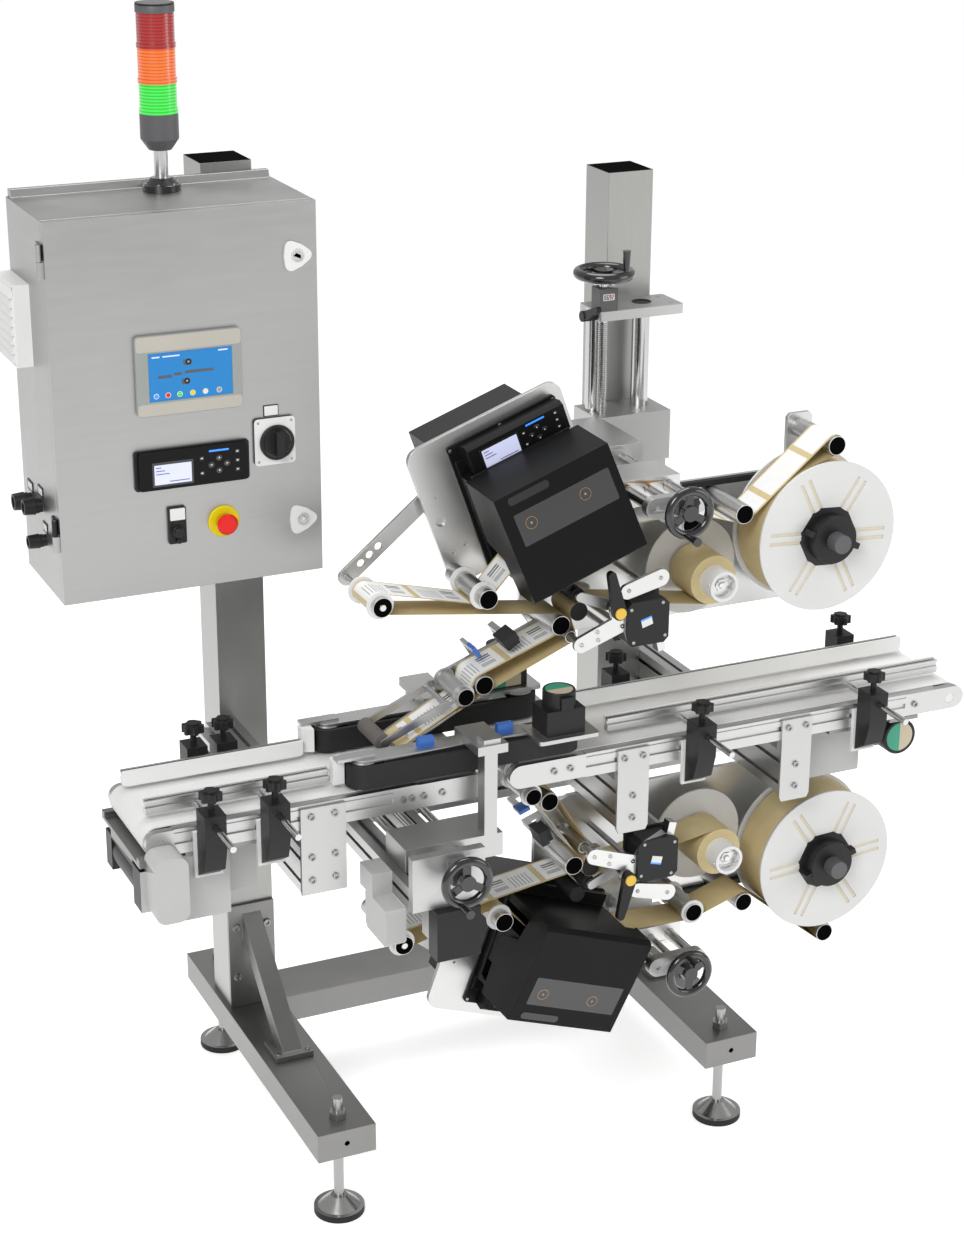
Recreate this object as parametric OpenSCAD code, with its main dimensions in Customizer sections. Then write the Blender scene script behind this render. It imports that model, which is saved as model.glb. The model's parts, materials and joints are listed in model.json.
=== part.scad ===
// Top and bottom print-and-apply labelling machine on a short belt conveyor.
// Millimetres, +Z up, +X along the conveyor, +Y towards the back.
// All places are given from the floor point under the left front foot;
// seated() then moves the machine so that its origin is the middle of its footprint.

/* [Base] */
// Distance between the left and right feet
foot_pitch_x = 850; // [800:5:900]
// Distance between the front and back feet
foot_pitch_y = 700; // [660:5:760]
// Diameter of a levelling foot
foot_d = 100; // [80:5:115]
// Diameter of a levelling foot's stem
foot_stem_d = 20; // [16:1:24]
// Width of a base beam
beam_w = 120; // [110:5:140]
// Height of a base beam
beam_h = 60; // [50:5:80]
// Wall of the base beams
beam_wall = 4; // [3:0.5:6]
// Height of the beams' underside over the floor
beam_z = 150; // [130:5:170]
// How far a beam reaches past its foot centres
beam_overhang = 50; // [40:5:60]
// Front face of the cross beam
cross_beam_y = 480; // [470:1:485]

/* [Columns] */
// Side of a square column
col_w = 100; // [80:5:110]
// Wall of a column
col_wall = 4; // [3:0.5:6]
// Front face of the columns
col_y = 490; // [485:1:495]
// Top of the left column
left_col_top = 1975; // [1960:5:2050]
// Top of the right column
right_col_top = 1893; // [1800:5:1950]
// Side of the brace tube
brace_tube = 40; // [30:1:50]
// Height of the flange plate that holds a brace
brace_flange_h = 236; // [220:2:240]

/* [Cabinet] */
// Width of the control cabinet
cab_w = 500; // [480:5:520]
// Height of the control cabinet
cab_h = 700; // [650:5:705]
// Depth of the control cabinet
cab_d = 247; // [200:1:247]
// Sheet of the cabinet
cab_sheet = 2; // [1.5:0.5:3]
// Underside of the cabinet
cab_z = 1251; // [1245:1:1275]
// Right side of the cabinet
cab_x1 = 83; // [60:1:84]
// Thickness of the closed door
door_t = 16; // [14:1:20]
// Diameter of the stack light
stack_d = 70; // [60:1:75]
// Size of the operator screen across
screen_w = 198; // [180:1:210]

/* [Conveyor] */
// Outer width of the conveyor frame
conv_w = 230; // [220:2:240]
// Height of the side profiles
side_h = 48; // [44:1:52]
// Top of the side profiles
conv_top = 945; // [943:1:947]
// Thickness of a side profile
side_t = 16; // [12:1:18]
// Thickness of the belts
belt_t = 2; // [1.5:0.1:2.5]
// Radius of the end drums
drum_r = 25; // [22:0.5:26]
// Radius of the fixed nose bars
nose_r = 12; // [8:0.5:14]
// Left end of the conveyor's side profiles
infeed_x0 = -365; // [-380:1:-350]
// Right end of the conveyor
outfeed_x1 = 1311; // [1290:1:1330]
// Centre of the gap between the two conveyors
gap_x = 285; // [280:1:290]
// Distance between the two belts' noses
gap_w = 40; // [30:1:50]
// Side of the square rails
rail = 45; // [43:1:46]

/* [Guides] */
// Middle of the product lane
lane_y = 8; // [4:1:12]
// Width between the guide faces
lane_w = 114; // [90:1:118]
// Height of a guide rail
guide_h = 30; // [24:1:34]
// Thickness of the aluminium part of a guide
guide_t = 14; // [10:1:16]
// Diameter of the guides' rods
guide_rod_d = 12; // [10:1:14]

/* [Side belts] */
// Height of the side belts
side_belt_h = 45; // [35:1:48]
// Thickness of the side belts
side_belt_t = 8; // [5:1:8]
// Width across a side belt loop
loop_w = 68; // [62:1:70]
// Diameter of the centring handwheel
centring_wheel_d = 100; // [90:1:110]

/* [Lift] */
// Diameter of the lift shafts
lift_shaft_d = 36; // [30:1:38]
// Diameter of the lift screw
lift_screw_d = 20; // [16:1:24]
// Diameter of the lift handwheel
lift_wheel_d = 125; // [110:1:130]
// Height of the lift carriage
carriage_h = 123; // [110:1:130]

/* [Labelling units] */
// Height of the plane that the lower unit mirrors the upper one about
mid_z = 931.5; // [929:0.5:934]
// Distance that the lower unit stands to the right of the upper one
unit_shift = 37; // [32:1:40]
// Width of the label web
web_w = 80; // [70:1:86]
// Thickness of the web as drawn
web_t = 0.3; // [0.3:0.05:0.4]
// Diameter of the guide rollers
roller_d = 38; // [36:0.5:39]
// Tilt of the print engine
tilt = 20; // [18:0.5:22]
// Width of the print engine
engine_w = 232; // [225:1:240]
// Diameter of the reel flanges
reel_d = 300; // [288:1:304]
// Diameter of the label roll on the reel
roll_d = 285; // [200:1:287]
// Diameter of the wound-up backing paper
waste_d = 97; // [70:1:140]
// Diameter of the rewinder's disc
rewind_d = 194; // [160:1:195]
// Diameter of the cross slide's handwheel
wheel_d = 100; // [90:1:110]
// Diameter of the cross slide's shafts
slide_shaft_d = 22; // [18:1:24]
// Free travel of the cross slide each way
slide_travel = 60; // [40:1:60]

/* [Hidden] */

// Fits and running gaps
fit = 0.05;
air = 0.3;
touch_gap = 0.4;

// Finishes as the photograph shows them
alu = [0.80, 0.81, 0.82];
steel = [0.70, 0.71, 0.72];
bright = [0.86, 0.87, 0.88];
black = [0.10, 0.10, 0.11];
rubber_black = [0.20, 0.20, 0.21];
pale = [0.88, 0.88, 0.86];
white = [0.95, 0.95, 0.94];
bronze = [0.62, 0.40, 0.24];
kraft = [0.78, 0.69, 0.47];
amber = [0.90, 0.66, 0.20];

beam_top = beam_z + beam_h;
left_x = 0;
right_x = foot_pitch_x;
col_back = col_y + col_w;
cab_x0 = cab_x1 - cab_w;
cab_y0 = col_y - cab_d;
cab_z1 = cab_z + cab_h;
fan_depth = 30;
x_min = cab_x0 - fan_depth;
x_max = outfeed_x1;
origin_x = (x_min + x_max) / 2;
wheel_handle_y = -340;
y_min = wheel_handle_y;
y_max = foot_pitch_y + beam_overhang;
origin_y = (y_min + y_max) / 2;

module seated() {
  translate([-origin_x, -origin_y, 0]) children();
}

// Simple forms
module block(lo, hi) {
  translate(lo) cube(hi - lo);
}
module rod_x(y, z, r, x0, x1) {
  translate([x0, y, z]) rotate([0, 90, 0]) cylinder(r = r, h = x1 - x0, $fn = 64);
}
module rod_y(x, z, r, y0, y1) {
  translate([x, y1, z]) rotate([90, 0, 0]) cylinder(r = r, h = y1 - y0, $fn = 64);
}
module rod_z(x, y, r, z0, z1) {
  translate([x, y, z0]) cylinder(r = r, h = z1 - z0, $fn = 64);
}
module tube_y(x, z, r, bore, y0, y1) {
  difference() {
    rod_y(x, z, r, y0, y1);
    rod_y(x, z, bore, y0 - 1, y1 + 1);
  }
}
// A drawing in X and Z given a thickness along Y, and one in Y and Z given a length along X
module slab_y(y0, y1) {
  translate([0, y1, 0]) rotate([90, 0, 0]) linear_extrude(y1 - y0) children();
}
module slab_x(x0, x1) {
  translate([x0, 0, 0]) rotate([90, 0, 90]) linear_extrude(x1 - x0) children();
}
module slab_z(z0, z1) {
  translate([0, 0, z0]) linear_extrude(z1 - z0) children();
}

// Outlines
function arc(c, r, a0, a1, n) = [for (i = [0:n]) c + r * [cos(a0 + (a1 - a0) * i / n), sin(a0 + (a1 - a0) * i / n)]];
function pill(c1, r1, c2, r2, n = 14) =
  let (d = c2 - c1, base = atan2(d.y, d.x), off = acos((r1 - r2) / norm(d)))
  concat(arc(c1, r1, base + off, base + 360 - off, n), arc(c2, r2, base - off, base + off, n));
function rounded(lo, hi, r, n = 6) = concat(
  arc([hi.x - r, hi.y - r], r, 0, 90, n), arc([lo.x + r, hi.y - r], r, 90, 180, n),
  arc([lo.x + r, lo.y + r], r, 180, 270, n), arc([hi.x - r, lo.y + r], r, 270, 360, n));

// A square tube along Z
module square_tube(w, d, wall, h) {
  difference() {
    cube([w, d, h]);
    translate([wall, wall, -1]) cube([w - 2 * wall, d - 2 * wall, h + 2]);
  }
}

// Screw head with a socket, on a face that looks to the front
module screw_y(x, z, r, y_face) {
  difference() {
    rod_y(x, z, r, y_face - r * 0.6, y_face);
    translate([x, y_face - r * 0.2, z]) rotate([90, 0, 0]) cylinder(r = r * 0.55, h = r, $fn = 6);
  }
}
module screw_z(x, y, r, z_face) {
  difference() {
    rod_z(x, y, r, z_face, z_face + r * 0.6);
    translate([x, y, z_face + r * 0.2]) cylinder(r = r * 0.55, h = r, $fn = 6);
  }
}

// Handwheel about the Y axis with its rim centred at y = 0, and a handle to the front
module handwheel(d, bore, handle_len, handle_angle) {
  rim = d * 0.085;
  rotate([90, 0, 0]) rotate_extrude($fn = 64) translate([d / 2 - rim, 0]) circle(r = rim, $fn = 24);
  difference() {
    union() {
      rod_y(0, 0, d * 0.15, -8, 9);
      for (a = [0, 120, 240])
        rotate([0, a, 0]) block([-d * 0.07, -3, d * 0.1], [d * 0.07, 4, d / 2 - rim]);
    }
    rod_y(0, 0, bore, -3, 10);
  }
  rotate([0, handle_angle, 0]) {
    rod_y(0, d / 2 - rim, 3, -12, -rim / 2);
    translate([0, -10, d / 2 - rim]) rotate([90, 0, 0])
      cylinder(r1 = 6, r2 = 8.5, h = handle_len - 10, $fn = 32);
  }
}

// Base
beam_y0 = -beam_overhang;
beam_y1 = foot_pitch_y + beam_overhang;
cross_beam_d = beam_w;
cap_t = 3;
module base_beam(x) {
  stem_hole = foot_stem_d / 2 + fit * 4;
  difference() {
    translate([x + beam_w / 2, beam_y0, beam_z]) rotate([-90, 0, 0]) mirror([0, 1, 0]) mirror([1, 0, 0])
      square_tube(beam_w, beam_h, beam_wall, beam_y1 - beam_y0);
    for (y = [0, foot_pitch_y]) rod_z(x, y, stem_hole, beam_z - 1, beam_top + 1);
  }
  // inset end plates, the front one with a small hole
  difference() {
    block([x - beam_w / 2 + beam_wall, beam_y0, beam_z + beam_wall],
          [x + beam_w / 2 - beam_wall, beam_y0 + cap_t, beam_top - beam_wall]);
    rod_y(x, beam_z + beam_h / 2, 5, beam_y0 - 1, beam_y0 + cap_t + 1);
  }
  block([x - beam_w / 2 + beam_wall, beam_y1 - cap_t, beam_z + beam_wall],
        [x + beam_w / 2 - beam_wall, beam_y1, beam_top - beam_wall]);
}
module base_frame() {
  color(steel) seated() {
    base_beam(left_x);
    base_beam(right_x);
    translate([left_x + beam_w / 2, cross_beam_y, beam_z]) rotate([90, 0, 90])
      square_tube(cross_beam_d, beam_h, beam_wall, foot_pitch_x - beam_w);
  }
}

pad_h = 14;
nut_h = 16;
module levelling_feet() {
  seated() for (x = [left_x, right_x], y = [0, foot_pitch_y]) {
    color(black) rod_z(x, y, foot_d / 2, 0, pad_h);
    color(black) translate([x, y, pad_h]) cylinder(r1 = foot_d * 0.42, r2 = foot_stem_d * 0.8, h = 22, $fn = 64);
    color(steel) {
      rod_z(x, y, foot_stem_d / 2, pad_h + 22, beam_top + 45);
      for (z = [beam_z - nut_h, beam_top]) translate([x, y, z]) cylinder(r = foot_stem_d * 0.87, h = nut_h, $fn = 6);
    }
  }
}

// Columns and their braces
module columns() {
  seated() for (c = [[left_x, left_col_top], [right_x, right_col_top]]) {
    color(alu) translate([c[0] - col_w / 2, col_y, beam_top]) square_tube(col_w, col_w, col_wall, c[1] - beam_top);
    color(black) block([c[0] - col_w / 2, col_y, c[1]], [c[0] + col_w / 2, col_back, c[1] + 8]);
    color(black) block([c[0] - col_w / 2 + col_wall, col_y + col_wall, c[1] - 12],
                       [c[0] + col_w / 2 - col_wall, col_back - col_wall, c[1]]);
  }
}
flange_t = 8;
brace_foot_y = 234;
module column_braces() {
  lift_y = col_y - flange_t;
  flange_z1 = beam_top + brace_flange_h;
  seated() for (x = [left_x, right_x]) {
    color(steel) block([x - col_w / 2, lift_y, beam_top], [x + col_w / 2, col_y, flange_z1]);
    for (dx = [-col_w / 3, col_w / 3], z = [beam_top + 70, flange_z1 - 50]) color(bright) screw_y(x + dx, z, 8, lift_y);
    color(steel) block([x - brace_tube, brace_foot_y, beam_top], [x + brace_tube, brace_foot_y + 75, beam_top + 12]);
    for (dx = [-brace_tube * 0.78, brace_tube * 0.78]) color(bright) screw_z(x + dx, brace_foot_y + 12, 5, beam_top + 12);
    color(steel) slab_x(x - brace_tube / 2, x + brace_tube / 2)
      polygon([[brace_foot_y + 15, beam_top + 12], [brace_foot_y + 15 + brace_tube * 1.45, beam_top + 12],
               [lift_y, flange_z1 - 20 - brace_tube * 1.4], [lift_y, flange_z1 - 20]]);
  }
}

// Aluminium rails with T-slots; nx by ny cells in the drawing plane
module slot_section(nx, ny) {
  c = rail;
  neck = 8;
  head = 17;
  difference() {
    square([nx * c, ny * c]);
    for (i = [0:nx - 1], s = [0, 1]) {
      translate([(i + 0.5) * c, s * ny * c]) square([neck, 10], center = true);
      translate([(i + 0.5) * c, s == 0 ? 8 : ny * c - 8]) square([head, 6.5], center = true);
    }
    for (j = [0:ny - 1], s = [0, 1]) {
      translate([s * nx * c, (j + 0.5) * c]) square([10, neck], center = true);
      translate([s == 0 ? 8 : nx * c - 8, (j + 0.5) * c]) square([6.5, head], center = true);
    }
    for (i = [0:nx - 1], j = [0:ny - 1]) translate([(i + 0.5) * c, (j + 0.5) * c]) circle(r = 5, $fn = 24);
  }
}
module rail_y(x, z, nx, nz, y0, y1) {
  translate([x, 0, z]) slab_y(y0, y1) slot_section(nx, nz);
}
module rail_x(y, z, ny, nz, x0, x1) {
  translate([0, y, z]) slab_x(x0, x1) slot_section(ny, nz);
}

conv_y = conv_w / 2;
hanger_t = 6;
tie_y = 276;
tie_z1 = 775;
tie_z0 = tie_z1 - 2 * rail;
cross_z1 = tie_z1 + 2 * rail;
side_z0 = conv_top - side_h;
rail_l_x = -107;
rail_m_x = 542;
rail_r_x = right_x + col_w / 2;
rail_front = -conv_y;
arm1_x = 58;
arm2_x = 150;
arm_z0 = side_z0 - 97 - rail;
module cross_rails() {
  color(alu) seated() {
    rail_y(rail_l_x, tie_z1, 2, 2, rail_front, col_y);
    rail_y(rail_m_x, tie_z1, 1, 2, rail_front, tie_y + rail + 60);
    rail_y(rail_r_x, tie_z1, 1, 2, rail_front, col_back);
    rail_x(tie_y, tie_z0, 1, 2, rail_l_x, rail_r_x + rail);
    rail_y(arm1_x, arm_z0, 1, 1, -225, tie_y);
    rail_y(arm2_x, arm_z0, 1, 1, -75, tie_y);
  }
}

// Front plates that hang the conveyor on its rails, and the blocks under its back profile
module hanger(x, w, x_cut, z_low, screws) {
  color(alu) difference() {
    slab_y(-conv_y - hanger_t, -conv_y)
      polygon([[x, conv_top - 5], [x, z_low + x_cut * 2], [x + x_cut, z_low], [x + w - x_cut, z_low],
               [x + w, z_low + x_cut * 2], [x + w, conv_top - 5]]);
  }
  for (s = screws) color(bright) screw_y(s.x, s.y, 6.5, -conv_y - hanger_t);
}
hanger_w = 67;
module hanger_plates() {
  seated() {
    xl = rail_l_x + 1;
    hanger(xl, 2 * rail - 3, 0.01, tie_z1 - 6,
      [for (i = [0:1], z = [conv_top - 22, tie_z1 + 68, tie_z1 + 22]) [xl + rail / 2 + i * rail - 2, z]]);
    for (xr = [rail_m_x, rail_r_x]) {
      x = xr + rail / 2 - hanger_w / 2;
      hanger(x, hanger_w, 5, tie_z1 - 8,
        [[x + 14, conv_top - 22], [x + hanger_w - 14, conv_top - 22], [x + hanger_w / 2, tie_z1 + 68], [x + hanger_w / 2, tie_z1 + 22]]);
    }
    for (x = [rail_l_x + rail / 2, rail_m_x, rail_r_x])
      color(alu) block([x, conv_y - 30, cross_z1], [x + rail, conv_y, side_z0]);
    for (x = [rail_l_x + rail / 2, rail_m_x, rail_r_x])
      color(alu) block([x, -conv_y, cross_z1], [x + rail, -conv_y + 30, side_z0]);
  }
}

// Conveyor
drum_x = infeed_x0;
out_drum_x = outfeed_x1 - 33;
drum_z = conv_top - drum_r;
nose_z = conv_top - nose_r;
in_nose_x = gap_x - gap_w / 2 - nose_r - belt_t;
out_nose_x = gap_x + gap_w / 2 + nose_r + belt_t;
belt_w = conv_w - 2 * side_t - 2;
belt_y = belt_w / 2;
inner_y = conv_y - side_t;
module side_section() {
  difference() {
    square([side_t, side_h]);
    translate([-1, side_h / 2 - 5]) square([5, 10]);
    translate([-1, side_h - 8]) square([3, 3]);
  }
}
module side_profile(x0, x1) {
  slab_x(x0, x1) translate([-conv_y, side_z0]) side_section();
  slab_x(x0, x1) translate([conv_y, side_z0]) mirror([1, 0]) side_section();
}
// Plates outside the profile's ends that carry the drums and the nose bars
module end_plates(x0, x1, round_left, hole_x, hole_z, hole_r, screws) {
  r = side_h / 2 - 1;
  z = side_z0 + side_h / 2;
  for (s = [-1, 1]) difference() {
    slab_y(s < 0 ? -conv_y : inner_y, s < 0 ? -inner_y : conv_y)
      polygon(round_left
        ? concat(arc([x0 + r, z], r, 90, 270, 12), [[x1, z - r], [x1, z + r]])
        : concat(arc([x1 - r, z], r, -90, 90, 12), [[x0, z + r], [x0, z - r]]));
    rod_y(hole_x, hole_z, hole_r, -conv_y - 1, conv_y + 1);
  }
  for (x = screws) screw_y(x, z, 6.5, -conv_y);
}
spindle_r = 10;
nose_pin_r = 5;
bed_t = 6;
module conveyor_section(px0, px1, bx0, bx1) {
  color(alu) side_profile(px0, px1);
  color(steel) block([bx0, -inner_y, conv_top - bed_t], [bx1, inner_y, conv_top]);
}
infeed_profile_x0 = infeed_x0 + 26;
infeed_profile_x1 = 76;
infeed_nose_plate_x0 = 124;
outfeed_nose_plate_x1 = 466;
outfeed_profile_x1 = 1174;
module conveyor_frames() {
  seated() {
    conveyor_section(infeed_profile_x0, infeed_profile_x1, infeed_x0 + drum_r + 5, in_nose_x - nose_r - 3);
    color(alu) end_plates(infeed_x0 - 26, infeed_profile_x0, true, drum_x, drum_z, spindle_r + fit, []);
    color(bright) for (s = [-1, 1]) block([infeed_profile_x1, s < 0 ? -conv_y : inner_y, side_z0], [infeed_nose_plate_x0, s < 0 ? -inner_y : conv_y, conv_top]);
    for (x = [95, 112]) color(bright) screw_y(x, side_z0 + side_h / 2, 6.5, -conv_y);
    color(alu) end_plates(infeed_nose_plate_x0, in_nose_x + nose_r - 2, false, in_nose_x, nose_z, nose_pin_r + fit, [136, 173]);
    conveyor_section(outfeed_nose_plate_x1, outfeed_profile_x1, out_nose_x + nose_r + 3, out_drum_x - drum_r - 5);
    color(alu) end_plates(out_nose_x - nose_r + 2, outfeed_nose_plate_x1, true, out_nose_x, nose_z, nose_pin_r + fit, [400, 434]);
    color(alu) end_plates(outfeed_profile_x1, outfeed_x1, false, out_drum_x, drum_z, spindle_r + fit, [1196]);
    // fixed nose bars with their pins
    for (x = [in_nose_x, out_nose_x]) color(steel) {
      rod_y(x, nose_z, nose_r, -belt_y, belt_y);
      rod_y(x, nose_z, nose_pin_r, -conv_y, -belt_y);
      rod_y(x, nose_z, nose_pin_r, belt_y, conv_y);
    }
  }
}
module belt_loop(x1, z1, r1, x2, z2, r2) {
  gap = air + 0.2;
  slab_y(-belt_y, belt_y) difference() {
    polygon(pill([x1, z1], r1 + belt_t + gap, [x2, z2], r2 + belt_t + gap, 24));
    polygon(pill([x1, z1], r1 + gap, [x2, z2], r2 + gap, 24));
  }
}
module conveyor_belts() {
  color(rubber_black) seated() {
    belt_loop(drum_x, drum_z, drum_r, in_nose_x, nose_z, nose_r);
    belt_loop(out_nose_x, nose_z, nose_r, out_drum_x, drum_z, drum_r);
  }
}
module drum(x) {
  rod_y(x, drum_z, drum_r, -belt_y, belt_y);
  rod_y(x, drum_z, spindle_r, -conv_y, -belt_y);
  rod_y(x, drum_z, spindle_r, belt_y, conv_y);
}
module infeed_drum() {
  color(steel) seated() drum(drum_x);
}
module outfeed_drum() {
  color(steel) seated() drum(out_drum_x);
}

// Drives under the conveyor with their guards, and the two boxes on the short arm
under_belt = side_z0 - 8;
module guard(lo, hi, finish) {
  sheet = [2, 2, 2];
  color(finish) difference() {
    block(lo, hi);
    block(lo + sheet, hi - [2, 2, 4]);
    block(lo + [12, 12, 8], hi + [-12, -12, 1]);
  }
}
// Strap under the belt from one side profile to the other
module hanger_strap(x0, x1) {
  color(steel) block([x0, -conv_y, under_belt], [x1, conv_y, under_belt + 3]);
  color(steel) for (s = [-1, 1])
    block([x0, s < 0 ? -conv_y : inner_y + 2, under_belt + 3], [x1, s < 0 ? -inner_y - 2 : conv_y, side_z0]);
}
module conveyor_gearmotors() {
  seated() {
    // belt cover and motor of the infeed
    color(black) difference() {
      slab_y(-conv_y - 60, -conv_y) polygon(rounded([-395, 795], [-333, side_z0 + 22], 20));
      slab_y(-conv_y - 57, -conv_y + 1) polygon(rounded([-392, 798], [-336, side_z0 + 19], 17));
    }
    color(black) rod_y(-364, 835, 39, -70, 60);
    color(black) block([-404, -conv_y, 795], [-324, -70, 875]);
    color(black) block([-404, 60, 800], [-324, 95, 870]);
    color(steel) block([-404, -70, 865], [-330, 60, under_belt]);
    color(steel) for (s = [-1, 1]) block([-404, s < 0 ? -conv_y : 60, under_belt - 8], [-330, s < 0 ? -70 : conv_y, under_belt]);
    color(steel) for (s = [-1, 1]) block([-404, s < 0 ? -conv_y : inner_y, under_belt], [infeed_profile_x0, s < 0 ? -inner_y : conv_y, side_z0 + 1]);
    // white guards
    guard([-324, -112, 762], [-238, -20, under_belt], white);
    guard([-238, -60, 775], [-170, 60, under_belt], white);
    hanger_strap(-320, -242);
    hanger_strap(-230, -178);
    // motor of the outfeed: a drum-shaped end with a round plate, and its grey guard
    color(black) rod_y(1173, 850, 37, -104, -60);
    color(black) block([1128, -60, 818], [1218, 60, under_belt]);
    color(white) block([1108, -64, 822], [1128, -20, under_belt]);
    guard([991, -60, 774], [1108, 60, under_belt], pale);
    hanger_strap(1000, 1098);
    hanger_strap(1140, 1206);
    // electrical boxes
    color(pale) slab_x(18, arm1_x) polygon([[-215, 690], [-215, 752], [-212, 755], [-118, 755], [-115, 752], [-115, 690], [-124, 681], [-206, 681]]);
    color(pale) block([arm1_x - 40, -150, arm_z0], [arm1_x, -90, arm_z0 + rail]);
    color(pale) block([arm1_x + rail, -225, 680], [183, -180, 755]);
    color(black) block([97, -265, 660], [183, -225, 758]);
  }
}

// Guides: a rail with a white strip, held by two rods in clamp brackets
guide_z0 = conv_top + 12;
front_face = lane_y - lane_w / 2;
back_face = lane_y + lane_w / 2;
rod_zc = guide_z0 + 4;
strip_t = 5;
rod_r = guide_rod_d / 2;
front_rod_len = 195;
back_rod_len = 100;
module guide(x0, x1, rods, side) {
  face = side < 0 ? front_face : back_face;
  y0 = side < 0 ? face - strip_t - guide_t : face + strip_t;
  color(white) slab_y(side < 0 ? face - strip_t : face, side < 0 ? face : face + strip_t)
    polygon([[x0, guide_z0 + 3], [x0 + 8, guide_z0], [x1 - 8, guide_z0], [x1, guide_z0 + 3], [x1, guide_z0 + guide_h],
             [x0, guide_z0 + guide_h]]);
  color(alu) slab_x(x0, x1) difference() {
    translate([y0, guide_z0 + 2]) square([guide_t, guide_h - 4]);
    translate([side < 0 ? y0 - 1 : y0 + guide_t - 4, guide_z0 + guide_h / 2]) square([5, 8]);
    translate([y0 + guide_t / 2 - 2, guide_z0 + guide_h - 8]) square([4, 8]);
  }
  for (x = rods) color(bright)
    if (side < 0) rod_y(x, rod_zc, rod_r, y0 - front_rod_len, y0);
    else rod_y(x, rod_zc, rod_r, y0 + guide_t, y0 + guide_t + back_rod_len);
}
front_guide_travel = 40;
bracket_y0 = conv_y + 0.01;
bracket_d = 55;
infeed_front_rods = [-280, -162];
infeed_back_rods = [-215, -157];
outfeed_front_rods = [694, 1075];
outfeed_back_rods = [662, 1182];
infeed_guide_x = [-375, -30];
outfeed_guide_x = [534, 1277];
module infeed_front_guide() {
  seated() guide(infeed_guide_x[0], infeed_guide_x[1], infeed_front_rods, -1);
}
module infeed_back_guide() {
  seated() guide(infeed_guide_x[0], infeed_guide_x[1], infeed_back_rods, 1);
}
module outfeed_front_guide() {
  seated() guide(outfeed_guide_x[0], outfeed_guide_x[1], outfeed_front_rods, -1);
}
module outfeed_back_guide() {
  seated() guide(outfeed_guide_x[0] - 50, outfeed_guide_x[1], outfeed_back_rods, 1);
}
module star_knob(x, y, z) {
  rod_z(x, y, 6, z, z + 22);
  difference() {
    rod_z(x, y, 21, z + 22, z + 38);
    for (a = [0:60:300]) rod_z(x + 25 * cos(a), y + 25 * sin(a), 9, z + 21, z + 39);
  }
  rod_z(x, y, 12, z + 38, z + 42);
}
module guide_bracket(x, s) {
  w = 40;
  ya = s < 0 ? -conv_y - bracket_d : conv_y + 8;
  yb = s < 0 ? -conv_y - 8 : conv_y + bracket_d;
  color(black) difference() {
    slab_x(x - w / 2, x + w / 2)
      polygon(s < 0
        ? [[ya, rod_zc + 22], [ya, side_z0 + 20], [ya + 14, side_z0 - 25], [yb, side_z0 - 45], [yb, rod_zc + 22]]
        : [[ya, rod_zc + 22], [ya, side_z0 - 45], [yb - 14, side_z0 - 25], [yb, side_z0 + 20], [yb, rod_zc + 22]]);
    rod_y(x, rod_zc, rod_r + fit, ya - 1, yb + 1);
  }
  color(white) block([x - w / 2 - 6, s < 0 ? -conv_y - 8 : conv_y, side_z0 - 50], [x + w / 2 + 6, s < 0 ? -conv_y : conv_y + 8, conv_top - 8]);
  color(black) star_knob(x, (ya + yb) / 2, rod_zc + 22);
}
module guide_brackets() {
  seated() {
    for (x = concat(infeed_front_rods, outfeed_front_rods)) guide_bracket(x, -1);
    for (x = concat(infeed_back_rods, outfeed_back_rods)) guide_bracket(x, 1);
  }
}

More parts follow.
